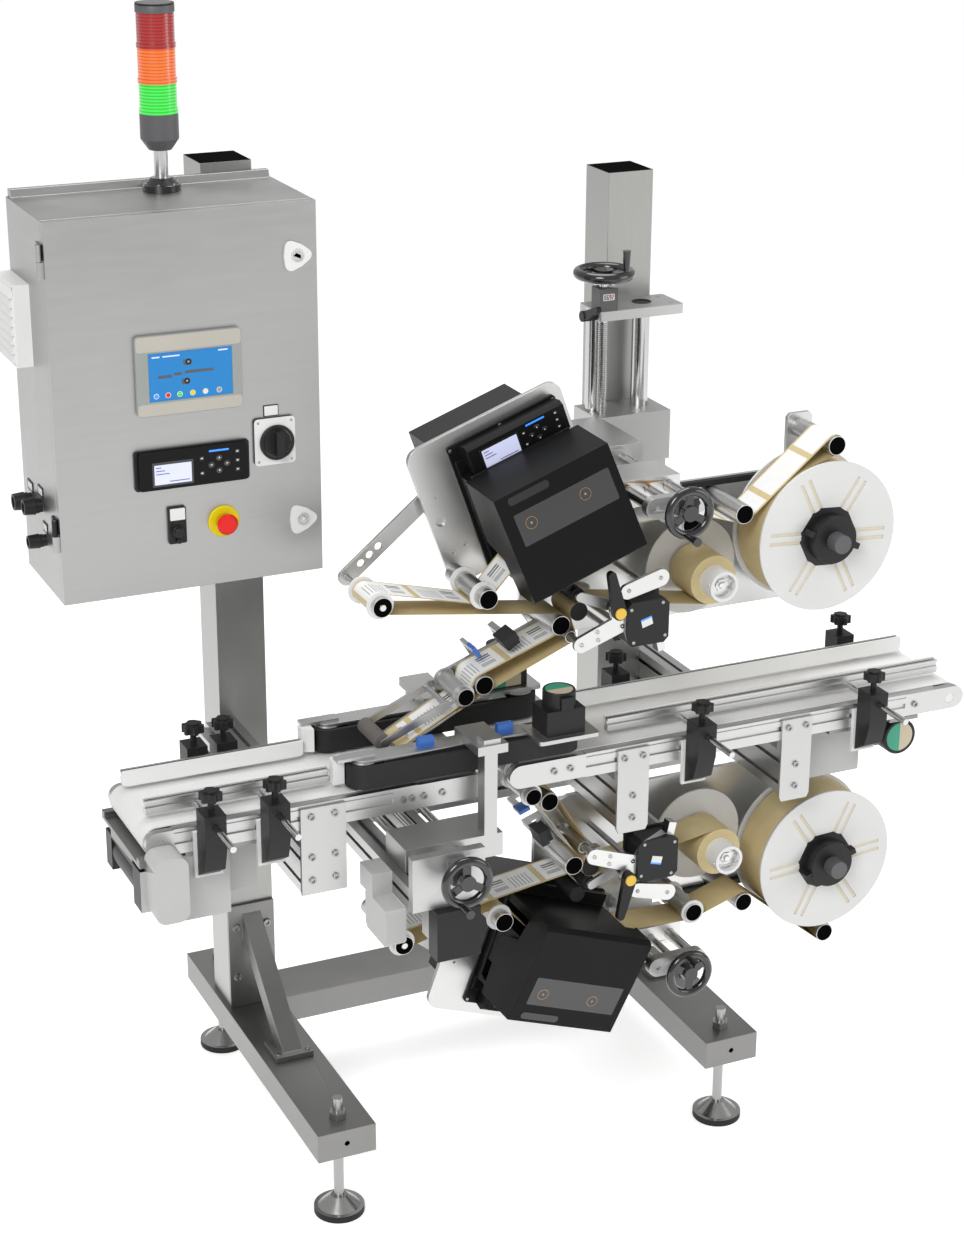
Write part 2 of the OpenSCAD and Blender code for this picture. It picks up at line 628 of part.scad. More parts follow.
// Control cabinet
rim_w = 12;
door_gap = 2;
door_y0 = cab_y0;
door_y1 = cab_y0 + door_t;
body_y0 = door_y1 + door_gap;
stack_x = cab_x0 + 275;
stack_y = col_y - 55;
hinge_r = 5;
hinge_x = cab_x0 - hinge_r - 2;
hinge_y = door_y1 - hinge_r;
hinge_zs = [cab_z + 100, cab_z1 - 100];
hinge_len = 60;
fan_z = cab_z + 492;
fan_s = 150;
module cabinet_body() {
  color(pale) seated() {
    difference() {
      block([cab_x0, body_y0, cab_z], [cab_x1, col_y, cab_z1]);
      block([cab_x0 + cab_sheet, body_y0 + cab_sheet, cab_z + cab_sheet], [cab_x1 - cab_sheet, col_y - cab_sheet, cab_z1 - cab_sheet]);
      block([cab_x0 + rim_w, body_y0 - 1, cab_z + rim_w], [cab_x1 - rim_w, body_y0 + cab_sheet + 1, cab_z1 - rim_w]);
    }
    // rain lip over the back edge
    slab_x(cab_x0 + 4, cab_x1 - 4) polygon([[col_y - 18, cab_z1], [col_y - 13, cab_z1 + 14], [col_y, cab_z1 + 14], [col_y, cab_z1]]);
    // fixed hinge knuckles, on the left side
    for (z = hinge_zs) difference() {
      union() {
        rod_z(hinge_x, hinge_y, hinge_r, z + hinge_len / 2 + 0.1, z + hinge_len);
        block([hinge_x, hinge_y + 1, z + hinge_len / 2 + 0.1], [cab_x0 - 0.5, hinge_y + hinge_r + 10, z + hinge_len]);
      }
      rod_z(hinge_x, hinge_y, hinge_r / 2, z - 1, z + hinge_len + 1);
    }
    for (z = hinge_zs) block([cab_x0 - 4, body_y0, z + hinge_len / 2 + 0.1], [cab_x0, body_y0 + 25, z + hinge_len]);
  }
  // fan cover with louvres, connectors and mounting plate with the gear on it
  color(pale) seated() {
    difference() {
      block([cab_x0 - fan_depth, stack_y - fan_s / 2, fan_z - fan_s / 2], [cab_x0, stack_y + fan_s / 2 - 22, fan_z + fan_s / 2]);
      for (i = [0:7]) translate([cab_x0 - fan_depth - 1, stack_y - fan_s / 2 + 10, fan_z - fan_s / 2 + 12 + i * 16])
        rotate([0, 25, 0]) cube([12, fan_s - 42, 7]);
    }
  }
  color(black) seated() {
    for (c = [[365, 1406, 13], [345, 1345, 11], [438, 1394, 14]]) rod_x(c[0], c[1], c[2], cab_x0 - 24, cab_x0);
    rod_z(cab_x0 + 60, col_y - 60, 14, cab_z - 26, cab_z);
    rod_z(cab_x0 + 110, col_y - 60, 11, cab_z - 22, cab_z);
  }
  color(steel) seated() block([cab_x0 + 30, col_y - cab_sheet - 14, cab_z + 30], [cab_x1 - 30, col_y - cab_sheet - 11, cab_z1 - 30]);
  color(steel) seated() for (x = [cab_x0 + 40, cab_x1 - 40], z = [cab_z + 40, cab_z1 - 40])
    rod_y(x, z, 6, col_y - cab_sheet - 11, col_y - cab_sheet);
}
lock_x = cab_x1 - 38;
lock_zs = [cab_z + 105, cab_z1 - 97];
switch_x = -5;
switch_z = 1512;
estop_x = -110;
estop_z = 1372;
module cabinet_door() {
  color(pale) seated() {
    difference() {
      block([cab_x0, door_y0, cab_z], [cab_x1, door_y1, cab_z1]);
      block([cab_x0 + cab_sheet, door_y0 + cab_sheet, cab_z + cab_sheet], [cab_x1 - cab_sheet, door_y1 + 1, cab_z1 - cab_sheet]);
      for (z = lock_zs) rod_y(lock_x, z, 9 + fit, door_y0 - 1, door_y0 + cab_sheet + 1);
      rod_y(switch_x, switch_z, 9 + fit, door_y0 - 1, door_y0 + cab_sheet + 1);
      rod_y(estop_x, estop_z, 8 + fit, door_y0 - 1, door_y0 + cab_sheet + 1);
    }
    for (z = hinge_zs) {
      difference() {
        union() {
          rod_z(hinge_x, hinge_y, hinge_r, z, z + hinge_len / 2 - 0.1);
          block([hinge_x, hinge_y - hinge_r, z], [cab_x0, hinge_y, z + hinge_len / 2 - 0.1]);
        }
        rod_z(hinge_x, hinge_y, hinge_r / 2 - fit, z - 1, z + hinge_len + 1);
      }
      rod_z(hinge_x, hinge_y, hinge_r / 2 - fit, z, z + hinge_len);
    }
  }
}
module door_fittings() {
  front = door_y0;
  seated() {
    // operator screen
    color(rubber_black) difference() {
      slab_y(front - 9, front) polygon(rounded([-266, 1588], [-266 + screen_w, 1735], 8));
      block([-243, front - 10, 1614], [-86, front - 7.5, 1703]);
    }
    color([0.35, 0.45, 0.60]) block([-243, front - 7.5, 1614], [-86, front - 7, 1703]);
    // printer panel with its display
    color(black) slab_y(front - 5, front) polygon(rounded([-276, 1449], [-58, 1524], 6));
    color([0.55, 0.62, 0.60]) block([-243, front - 5.6, 1450 + 8], [-170, front - 5, 1490]);
    for (i = [0:4]) color(steel) rod_y(-150 + i * 18, 1466, 4, front - 6.5, front - 5);
    // plate of the main switch, data socket, red ring of the stop button
    color(rubber_black) difference() {
      slab_y(front - 6, front) polygon(rounded([switch_x - 42, switch_z - 42], [switch_x + 36, switch_z + 46], 6));
      rod_y(switch_x, switch_z, 9 + fit, front - 7, front + 1);
    }
    color(steel) block([-215, front - 5, 1345], [-185, front, 1410]);
    color(black) block([-209, front - 9, 1352], [-191, front - 5, 1403]);
    color([0.90, 0.76, 0.16]) tube_y(estop_x, estop_z, 30, 8 + fit, front - 3, front);
    // lock escutcheons
    for (z = lock_zs) color(black) difference() {
      slab_y(front - 4, front) polygon(concat(arc([lock_x, z + 6], 13, 0, 180, 10), arc([lock_x, z - 12], 7, 180, 360, 8)));
      rod_y(lock_x, z, 9 + fit, front - 5, front + 1);
    }
  }
}
module main_switch_knob() {
  front = door_y0 - 6 - air;
  seated() {
    color(rubber_black) rod_y(switch_x, switch_z, 26, front - 6, front);
    color(black) slab_y(front - 26, front - 6)
      polygon(rounded([switch_x - 8, switch_z - 24], [switch_x + 8, switch_z + 24], 6));
    color(black) rod_y(switch_x, switch_z, 9, front, door_y0 + cab_sheet + 8);
  }
}
module estop_button() {
  seated() {
    color([0.75, 0.12, 0.10]) translate([estop_x, door_y0 - 14, estop_z]) rotate([90, 0, 0]) {
      cylinder(r1 = 17, r2 = 20, h = 10, $fn = 48);
      translate([0, 0, 10]) cylinder(r1 = 20, r2 = 15, h = 7, $fn = 48);
    }
    color(black) rod_y(estop_x, estop_z, 8, door_y0 - 14, door_y0 + cab_sheet + 10);
  }
}
module door_lock(z) {
  front = door_y0 - 4;
  color(bright) difference() {
    union() {
      rod_y(lock_x, z, 9, front - 1, door_y0 + cab_sheet + 3);
      block([lock_x - 9, door_y0 + cab_sheet + 3, z - 9], [lock_x + 9, door_y1 - 4, z + 34]);
    }
    translate([lock_x, front - 2, z]) rotate([-90, 0, 0]) cylinder(r = 5.5, h = 5, $fn = 3);
  }
}
module door_lock_upper() {
  seated() door_lock(lock_zs[1]);
}
module door_lock_lower() {
  seated() door_lock(lock_zs[0]);
}

// Stack light: lenses by height over the cabinet
module stack_light() {
  r = stack_d / 2;
  base_z = cab_z1;
  seated() translate([stack_x, stack_y, base_z]) {
    color(black) cylinder(r = r, h = 12, $fn = 64);
    color(black) translate([0, 0, 12]) cylinder(r1 = r * 0.9, r2 = r * 0.55, h = 12, $fn = 64);
    color(pale) translate([0, 0, 24]) cylinder(r = r * 0.36, h = 50, $fn = 48);
    color(pale) translate([0, 0, 74]) cylinder(r1 = r * 0.6, r2 = r, h = 20, $fn = 64);
    color(rubber_black) translate([0, 0, 94]) cylinder(r = r, h = 46, $fn = 64);
    color([0.15, 0.62, 0.28]) translate([0, 0, 140]) cylinder(r = r * 0.97, h = 54, $fn = 64);
    color(black) translate([0, 0, 194]) cylinder(r = r, h = 8, $fn = 64);
    color([0.90, 0.45, 0.12]) translate([0, 0, 202]) cylinder(r = r * 0.97, h = 54, $fn = 64);
    color(black) translate([0, 0, 256]) cylinder(r = r, h = 8, $fn = 64);
    color([0.80, 0.14, 0.12]) translate([0, 0, 264]) cylinder(r = r * 0.97, h = 54, $fn = 64);
    color(black) translate([0, 0, 318]) cylinder(r = r, h = 16, $fn = 64);
  }
}

// Lift on the right column
lift_z_top = 1644;
lift_plate_t = 20;
lift_top_z0 = lift_z_top - lift_plate_t;
lift_r = lift_shaft_d / 2;
lift_sr = lift_screw_d / 2;
shaft_pitch = 102;
shaft_l = [right_x - 94, col_y - lift_r - 20];
shaft_r = [shaft_l.x + shaft_pitch, col_y - lift_r - 25];
screw_c = [shaft_l.x + 1, shaft_l.y - lift_r - lift_sr - 6];
lift_x0 = screw_c.x - lift_r;
lift_x1 = shaft_r.x + lift_r + 53;
lift_y0 = screw_c.y - lift_sr - 10;
lift_low_z0 = 1020;
carriage_z1 = 1430;
carriage_z0 = carriage_z1 - carriage_h;
carriage_x0 = shaft_l.x - lift_r - 7;
carriage_x1 = shaft_r.x + lift_r + 22;
lever_y = screw_c.y + 2;
stop_z = lift_z_top + 24;
lever_z = lift_z_top - lift_plate_t / 2;
lever_pin = 6;
module lift_frame() {
  seated() {
    color(alu) difference() {
      slab_z(lift_top_z0, lift_z_top) polygon(rounded([lift_x0, lift_y0], [lift_x1, col_y], 6));
      rod_z(screw_c.x, screw_c.y, lift_sr + fit, lift_top_z0 - 1, lift_z_top + 1);
      rod_x(lever_y, lever_z, 5 + fit, lift_x0 - 1, lift_x0 + lever_pin + air);
      rod_z(shaft_r.x, shaft_r.y, lift_r, lift_top_z0 - 1, lift_z_top + 1);
      rod_z(shaft_l.x, shaft_l.y, lift_r, lift_top_z0 - 1, lift_z_top + 1);
    }
    color(alu) difference() {
      block([lift_x0, lift_y0, lift_low_z0], [shaft_r.x + lift_r + 24, col_y, lift_low_z0 + lift_plate_t]);
      for (p = [shaft_l, shaft_r]) rod_z(p.x, p.y, lift_r, lift_low_z0 - 1, lift_low_z0 + lift_plate_t + 1);
      rod_z(screw_c.x, screw_c.y, lift_sr + fit, lift_low_z0 - 1, lift_low_z0 + lift_plate_t + 1);
    }
    color(bright) for (p = [shaft_l, shaft_r]) rod_z(p.x, p.y, lift_r, lift_low_z0, lift_z_top - (p == shaft_r ? 6 : 0));
    // position indicator beside the screw
    color(steel) difference() {
      block([screw_c.x - 17, lift_y0 + 2, lift_z_top], [screw_c.x + 23, lift_y0 + 40, lift_z_top + 46]);
      rod_z(screw_c.x, screw_c.y, lift_sr + air, lift_z_top - 1, lift_z_top + 47);
    }
    // end stop rod on the column's left side
    color(bright) block([right_x - col_w / 2 - 28, col_y - 60, stop_z], [right_x - col_w / 2 - 14, col_y, stop_z + 24]);
    color(alu) block([right_x - col_w / 2 - 14, col_y - 16, stop_z], [right_x - col_w / 2 + 12, col_y, stop_z + 24]);
  }
}
lift_wheel_z = lift_z_top + 74;
module lift_handwheel() {
  seated() {
    color(steel) rod_z(screw_c.x, screw_c.y, lift_sr, lift_low_z0, lift_wheel_z + 2.9);
    color(black) translate([screw_c.x, screw_c.y, lift_wheel_z]) rotate([-90, 0, 0]) handwheel(lift_wheel_d, lift_sr, 52, 150);
  }
}
module lift_carriage() {
  seated() {
    color(alu) difference() {
      block([carriage_x0, lift_y0, carriage_z0], [carriage_x1, col_y - air, carriage_z1]);
      for (p = [shaft_l, shaft_r]) rod_z(p.x, p.y, lift_r + 4, carriage_z0 - 1, carriage_z1 + 1);
      rod_z(screw_c.x, screw_c.y, lift_sr + fit, carriage_z0 - 1, carriage_z1 + 1);
    }
    for (p = [shaft_l, shaft_r]) color(bronze) difference() {
      rod_z(p.x, p.y, lift_r + 4, carriage_z0, carriage_z1);
      rod_z(p.x, p.y, lift_r + fit, carriage_z0 - 1, carriage_z1 + 1);
    }
  }
}
module lift_clamp_lever() {
  seated() color(black) {
    rod_x(lever_y, lever_z, 5, lift_x0 - 14, lift_x0 + lever_pin);
    rod_x(lever_y, lever_z, 11, lift_x0 - 30, lift_x0 - air);
    slab_x(lift_x0 - 28, lift_x0 - 18) polygon(pill([lever_y, lever_z], 9, [lever_y - 58, lever_z + 26], 6));
  }
}

// Centring device and side belts
cent_x = [99, 190];
cent_screw_x = 143;
cent_z = 825;
cent_r = 8;
cent_screw_r = 7;
belt_x0 = 30;
belt_x1 = 425;
side_z = conv_top + 9;
side_belt_top = side_z + side_belt_h;
front_loop_y = front_face - loop_w / 2;
back_loop_y = back_face + loop_w / 2;
belt_travel = 12;
post_x0 = 232;
post_s = 26;
cent_y0 = -245;
cent_plate_t = 20;
module centring_frame() {
  seated() {
    // end plate with the indicator, and the back plate under the conveyor
    color(alu) difference() {
      block([arm1_x, cent_y0, 758 + 0.01], [200, cent_y0 + cent_plate_t, 863]);
      rod_y(cent_screw_x, cent_z, cent_screw_r + fit, cent_y0 - 1, cent_y0 + cent_plate_t + 1);
    }
    color(alu) difference() {
      block([arm1_x, 235, arm_z0 + rail], [250, 235 + cent_plate_t, 863]);
      for (x = cent_x) rod_y(x, cent_z, cent_r, 234, 256);
      rod_y(cent_screw_x, cent_z, cent_screw_r + fit, 234, 256);
    }
    color(bright) for (x = cent_x) rod_y(x, cent_z, cent_r, cent_y0 + cent_plate_t, 235 + cent_plate_t);
    color(steel) difference() {
      block([cent_screw_x - 17, cent_y0 - 24, cent_z - 15], [cent_screw_x + 17, cent_y0, cent_z + 27]);
      rod_y(cent_screw_x, cent_z, cent_screw_r + air, cent_y0 - 25, cent_y0 + 1);
    }
  }
}
module belt_block(y0, y1) {
  color(alu) difference() {
    block([76, y0, 800.3], [270, y1, 846]);
    for (x = cent_x) rod_y(x, cent_z, cent_r + 4, y0 - 1, y1 + 1);
    rod_y(cent_screw_x, cent_z, cent_screw_r + fit, y0 - 1, y1 + 1);
  }
  for (x = cent_x) color(bronze) tube_y(x, cent_z, cent_r + 4, cent_r + fit, y0, y1);
}
module side_belt(yc) {
  r = loop_w / 2;
  color(rubber_black) slab_z(side_z, side_belt_top - 1) difference() {
    polygon(pill([belt_x0, yc], r, [belt_x1, yc], r, 24));
    polygon(pill([belt_x0, yc], r - side_belt_t, [belt_x1, yc], r - side_belt_t, 24));
  }
  // pulleys and the bar between them, with the top plate over the loop
  for (x = [belt_x0, belt_x1]) color(steel) rod_z(x, yc, r - side_belt_t - touch_gap, side_z + 2, side_belt_top);
  color(alu) block([belt_x0 + r, yc - r + side_belt_t + 4, side_z + 4], [belt_x1 - r, yc + r - side_belt_t - 4, side_belt_top]);
  color(alu) slab_z(side_belt_top, side_belt_top + 6) polygon(pill([belt_x0, yc], 22, [belt_x1 - 80, yc], 22));
}
module belt_drive(yc, label_side) {
  z0 = side_belt_top;
  color(alu) slab_z(z0, z0 + 8) polygon(rounded([belt_x1 - 78, yc - 45], [belt_x1 + 46, yc + 42], 8));
  color(black) block([belt_x1 - 58, yc - 32, z0 + 8], [belt_x1 + 20, yc + 32, z0 + 44]);
  color(bright) block([belt_x1 - 58, yc - 32, z0 + 44], [belt_x1 + 20, yc + 32, z0 + 47]);
  color(black) block([belt_x1 - 58, yc - 32, z0 + 47], [belt_x1 + 20, yc + 32, z0 + 58]);
  color(black) rod_z(belt_x1 - 19, yc, 31, z0 + 58, z0 + 88);
  color(black) block([belt_x1 - 32, yc - 38, z0 + 60], [belt_x1 - 6, yc - 31, z0 + 84]);
}
module lead_in(s, yc) {
  x = belt_x0 - loop_w / 2;
  y = s < 0 ? front_face : back_face;
  color(white) slab_z(side_z + 4, side_belt_top + 6)
    polygon(s < 0 ? [[x - 24, y - 14], [x - 24, yc], [x - 2, yc], [x - 2, y - 4]]
                  : [[x - 24, y + 14], [x - 24, yc], [x - 2, yc], [x - 2, y + 4]]);
  color(alu) block([x - 20, yc - 12, side_belt_top + 6], [belt_x0 + 20, yc + 12, side_belt_top + 12]);
}
module front_side_belt() {
  post_y0 = -170;
  seated() {
    belt_block(post_y0, -75);
    color(alu) block([post_x0, post_y0, 846], [post_x0 + post_s, post_y0 + 30, side_belt_top + 6]);
    color(alu) block([post_x0 - 13, post_y0, side_belt_top + 6], [post_x0 + 47, front_loop_y + 20, side_belt_top + 24]);
    color(black) block([post_x0, post_y0 + 4, side_belt_top + 24], [post_x0 + 34, post_y0 + 34, side_belt_top + 34]);
    side_belt(front_loop_y);
    belt_drive(front_loop_y - 34, -1);
    lead_in(-1, front_loop_y);
    for (x = [152, 311]) color([0.10, 0.30, 0.66]) block([x - 16, front_loop_y - 6, side_belt_top + 6], [x + 16, front_loop_y + 6, side_belt_top + 24]);
  }
}
module back_side_belt() {
  post_y1 = 200;
  seated() {
    belt_block(120, post_y1);
    color(alu) block([post_x0, post_y1 - 30, 846], [post_x0 + post_s, post_y1, side_belt_top + 6]);
    color(alu) block([post_x0 - 13, back_loop_y - 20, side_belt_top + 6], [post_x0 + 47, post_y1, side_belt_top + 24]);
    side_belt(back_loop_y);
    belt_drive(back_loop_y + 34, 1);
    lead_in(1, back_loop_y);
  }
}
module centring_handwheel() {
  rim_y = -292;
  seated() {
    color(steel) rod_y(cent_screw_x, cent_z, cent_screw_r, rim_y - 2.9, 235 + cent_plate_t);
    color(black) translate([cent_screw_x, rim_y, cent_z]) handwheel(centring_wheel_d, cent_screw_r, rim_y - wheel_handle_y, 200);
  }
}

// Labelling unit, drawn as the upper one
web_y = web_w / 2;
roller_r = roller_d / 2;
plate_y0 = 85;
plate_t = 10;
reel_plate_y0 = plate_y0 + plate_t;
reel_plate_y1 = reel_plate_y0 + plate_t;
module lower_place() {
  translate([unit_shift, 0, 2 * mid_z]) mirror([0, 0, 1]) children();
}

// Lower left corner of the tilted engine plate, and the engine's sides in the tilted frame
engine_corner = [281, 1241];
engine_u0 = 77;
engine_u1 = engine_u0 + engine_w;
engine_v0 = -24;

// Roller axes in X and Z
reel_c = [1008, 1281];
rewind_c = [767, 1222];
guide_top = [1025, 1457.5];
guide_mid = [828, 1346];
guide_near = [711, 1343];
exit_roller = [284.5, 1264];
dancer_c = [82, 1275];
turn_roller = [440.5, 1183];
drive_c = [483, 1200];
press_c = [480.1, 1232.9];
idler_c = [466, 1153];
idler_r = 12;
tip_r = 2.5;
// Big roller, small roller and tip of each peeling head; the lower head stands steeper
upper_head = [[287, 1087], [246, 1073], [122, 985]];
lower_head = [[388, 1039], [350, 1018.5], [241, 926]];
press_r = 14;
drive_r = 18;
peel_big_r = 18.5;
peel_small_r = 17;

// Path of the web: each wrap is [x, z, radius, side], side 1 when it lies on the left of the travel
function heading(a, b) =
  let (d = [b[0] - a[0], b[1] - a[1]])
  atan2(d.y, d.x) - asin((b[3] * b[2] - a[3] * a[2]) / norm(d));
function turn(a, b, side) =
  let (t = side > 0 ? (b - a + 720) % 360 : -((a - b + 720) % 360))
  abs(t) > 340 ? 0 : t;
function wrap_points(w, h0, h1) =
  let (t = turn(h0, h1, w[3]), n = max(1, ceil(abs(t) / 15)))
  [for (k = [0:n]) let (h = h0 + t * k / n) [w[0] + w[3] * w[2] * sin(h), w[1] - w[3] * w[2] * cos(h), h]];
function web_line(p) =
  let (last = len(p) - 1, h = [for (i = [0:last - 1]) heading(p[i], p[i + 1])])
  [for (i = [0:last]) each wrap_points(p[i], h[max(0, i - 1)], h[min(i, last - 1)])];
module web_strip(path) {
  line = web_line(path);
  half = web_t / 2;
  left = [for (q = line) [q[0] - half * sin(q[2]), q[1] + half * cos(q[2])]];
  right = [for (i = [len(line) - 1:-1:0]) let (q = line[i]) [q[0] + half * sin(q[2]), q[1] - half * cos(q[2])]];
  slab_y(-web_y, web_y) polygon(concat(left, right));
}
function on(c, r, side) = [c.x, c.y, r + touch_gap + web_t / 2, side];
// A point of the tilted engine in X and Z
function engine_point(u, v) = [engine_corner.x + u * cos(tilt) - v * sin(tilt), engine_corner.y + u * sin(tilt) + v * cos(tilt)];
engine_in = engine_point(engine_u1 - 7, 12);
engine_out = engine_point(engine_u0 + 20, 42);
supply_path = [on(reel_c, roll_d / 2, -1), on(guide_top, roller_r, 1), on(guide_mid, roller_r, -1), on(guide_near, roller_r, 1),
               [engine_in.x, engine_in.y, 0, 1]];
function label_path(head) = [[engine_out.x, engine_out.y, 0, 1], on(exit_roller, roller_r, -1), on(dancer_c, roller_r, 1), on(turn_roller, roller_r, -1),
              on(head[0], peel_big_r, 1), on(head[1], peel_small_r, -1), on(head[2], tip_r, 1), on(head[0], peel_big_r, 1),
              on(idler_c, idler_r, 1), on(drive_c, drive_r, -1), on(rewind_c, waste_d / 2, 1)];
module web_parts(head) {
  color(kraft) {
    web_strip(supply_path);
    web_strip(label_path(head));
  }
}

// Cross slide
slide_x = [598.8, 686.3];
slide_zc = 1409;
slide_screw_x = (slide_x[0] + slide_x[1]) / 2;
slide_r = slide_shaft_d / 2;
slide_screw_r = 8;
slide_y0 = -115;
slide_y1 = 203;
slide_plate_t = 20;
slide_plate_r = 20;
nut_y0 = 0;
module slide_plate_outline() {
  polygon(pill([slide_x[0], slide_zc], slide_plate_r, [slide_x[1], slide_zc], slide_plate_r));
}
module cross_shafts_parts() {
  for (y = [slide_y0, slide_y1 - slide_plate_t]) color(alu) difference() {
    slab_y(y, y + slide_plate_t) slide_plate_outline();
    rod_y(slide_screw_x, slide_zc, slide_screw_r + fit, y - 1, y + slide_plate_t + 1);
    for (x = slide_x) rod_y(x, slide_zc, slide_r, y - 1, y + slide_plate_t + 1);
  }
  color(bright) for (x = slide_x) difference() {
    rod_y(x, slide_zc, slide_r, slide_y0, slide_y1);
    translate([x, slide_y0 + 4, slide_zc]) rotate([90, 0, 0]) cylinder(r = 5, h = 6, $fn = 6);
  }
  color(steel) difference() {
    block([slide_screw_x - 10, slide_y0 - 24, slide_zc - 12], [slide_screw_x + 32, slide_y0, slide_zc + 19]);
    rod_y(slide_screw_x, slide_zc, slide_screw_r + air, slide_y0 - 25, slide_y0 + 1);
  }
}
module cross_handwheel_parts() {
  rim_y = -160;
  color(steel) rod_y(slide_screw_x, slide_zc, slide_screw_r, rim_y - 2.9, slide_y1);
  color(black) translate([slide_screw_x, rim_y, slide_zc]) handwheel(wheel_d, slide_screw_r, 48, 190);
}

// Head plate: the tilted engine plate, the reel plate and the slide block
dancer_pin_r = 6;
module tilted() {
  translate([engine_corner.x, 0, engine_corner.y]) rotate([0, -tilt, 0]) children();
}
block_x = [585, 711];
block_z = [1385, 1429];
module head_plate_parts() {
  color(bright) tilted() difference() {
    slab_y(plate_y0, reel_plate_y0 + 0.5) polygon(rounded([0, -6], [327, 281], 26));
    for (p = [[22, 128, 9], [30, 178, 3], [52, 64, 3], [24, 60, 3]]) rod_y(p[0], p[1], p[2], plate_y0 - 1, plate_y0 + 5);
  }
  color(alu) slab_y(reel_plate_y0, reel_plate_y1) polygon([
    [424, 1165], [448, 1130], [500, 1106], [1040, 1106], [1055, 1121], [1055, 1479], [1048, 1486], [1006, 1486], [999, 1479],
    [999, 1377], [480, 1377], [424, 1300]]);
  color(rubber_black) block([761, reel_plate_y0 - 12, 1365], [999, reel_plate_y0, 1377]);
  color(alu) difference() {
    block([block_x[0], nut_y0, block_z[0]], [block_x[1], reel_plate_y0, block_z[1]]);
    for (x = slide_x) rod_y(x, slide_zc, slide_r + 3, nut_y0 - 1, reel_plate_y1 + 1);
    rod_y(slide_screw_x, slide_zc, slide_screw_r + fit, nut_y0 - 1, reel_plate_y1 + 1);
  }
  color(bronze) for (x = slide_x) tube_y(x, slide_zc, slide_r + 3, slide_r + fit, nut_y0, reel_plate_y0);
  // lower web of the slide block, bolted down to the reel plate
  color(alu) block([block_x[0] + 12, reel_plate_y0 - 30, 1345], [block_x[1] - 31, reel_plate_y0, block_z[0]]);
  // pivot of the dancer arm, on the back of the engine plate
  color(steel) rod_y(dancer_pivot.x, dancer_pivot.y, 11, reel_plate_y0, dancer_y0 - air);
  color(steel) rod_y(dancer_pivot.x, dancer_pivot.y, dancer_pin_r, dancer_y0 - air, dancer_y1 + air);
  color(steel) rod_y(dancer_pivot.x, dancer_pivot.y, 11, dancer_y1 + air, dancer_y1 + 5);
  // back box of the engine
  color(black) tilted() block([67, reel_plate_y0, 0], [278, 240, 250]);
}

// Print engine and its hinged cover, in the tilted frame
cover_hinge = [28, 206];
cover_pin_r = 2;
hinge_in = 42;
module print_engine_parts() {
  color(black) tilted() {
    slab_y(plate_y0 - 6, plate_y0) polygon(rounded([engine_u0, engine_v0], [engine_u1, 257], 6));
    // panel with the display above the cover
    slab_x(engine_u0 + 24, engine_u1 - 4) polygon([[plate_y0 - 6, 252], [50, 256], [40, 250], [40, 200], [plate_y0 - 6, 212]]);
    // side walls, roof and floor of the print bay
    slab_x(engine_u0 + 6, engine_u1 - 6) difference() {
      polygon([[plate_y0 - 6, -20], [plate_y0 - 6, 198], [34, 198], [34, 190], [60, 184], [60, -20]]);
    }
    difference() {
      block([engine_u0 + 8, -70, 4], [engine_u1 - 8, 60, 150]);
      block([engine_u0 - 1, -66, 22], [engine_u0 + 120, 61, 62]);
    }
    rod_x(cover_hinge[0], cover_hinge[1], 3.5, engine_u0 + 12, engine_u0 + hinge_in);
    rod_x(cover_hinge[0], cover_hinge[1], 3.5, engine_u1 - hinge_in, engine_u1 - 12);
    rod_x(cover_hinge[0], cover_hinge[1], cover_pin_r, engine_u0 + hinge_in, engine_u0 + hinge_in + 10);
    rod_x(cover_hinge[0], cover_hinge[1], cover_pin_r, engine_u1 - hinge_in - 10, engine_u1 - hinge_in);
    slab_x(engine_u0 + 14, engine_u0 + 40) polygon([[28, 202], [28, 196], [36, 190], [42, 202], [34, 206]]);
    slab_x(engine_u1 - 40, engine_u1 - 14) polygon([[28, 202], [28, 196], [36, 190], [42, 202], [34, 206]]);
  }
  color([0.62, 0.62, 0.84]) tilted() block([126, 39.4, 204], [200, 40, 240]);
}
module engine_cover_parts() {
  wall = 3;
  color(black) tilted() {
    difference() {
      slab_x(engine_u0 - 4, engine_u1 + 4) polygon([[22, 208], [-98, 206], [-130, 2], [-118, -6], [-60, -6], [22, 24]]);
      slab_x(engine_u0 - 4 + wall, engine_u1 + 4 - wall) polygon([[23, 205], [-95, 203], [-126, 4], [-60, -7], [23, -7]]);
      slab_x(engine_u0 - 5, engine_u0 + 1) polygon([[23, 24], [23, 80], [-40, 62], [-60, -7]]);
      slab_x(engine_u1 - 1, engine_u1 + 5) polygon([[23, 24], [23, 80], [-40, 62], [-60, -7]]);
    }
    difference() {
      slab_x(engine_u0 + hinge_in + air, engine_u1 - hinge_in - air)
        polygon(concat([[20, 207.5], [20, 204.5]], arc(cover_hinge, 4, -110, 110, 10)));
      rod_x(cover_hinge[0], cover_hinge[1], cover_pin_r + fit, engine_u0 + hinge_in - 1, engine_u0 + hinge_in + 12);
      rod_x(cover_hinge[0], cover_hinge[1], cover_pin_r + fit, engine_u1 - hinge_in - 12, engine_u1 - hinge_in + 1);
    }
  }
}

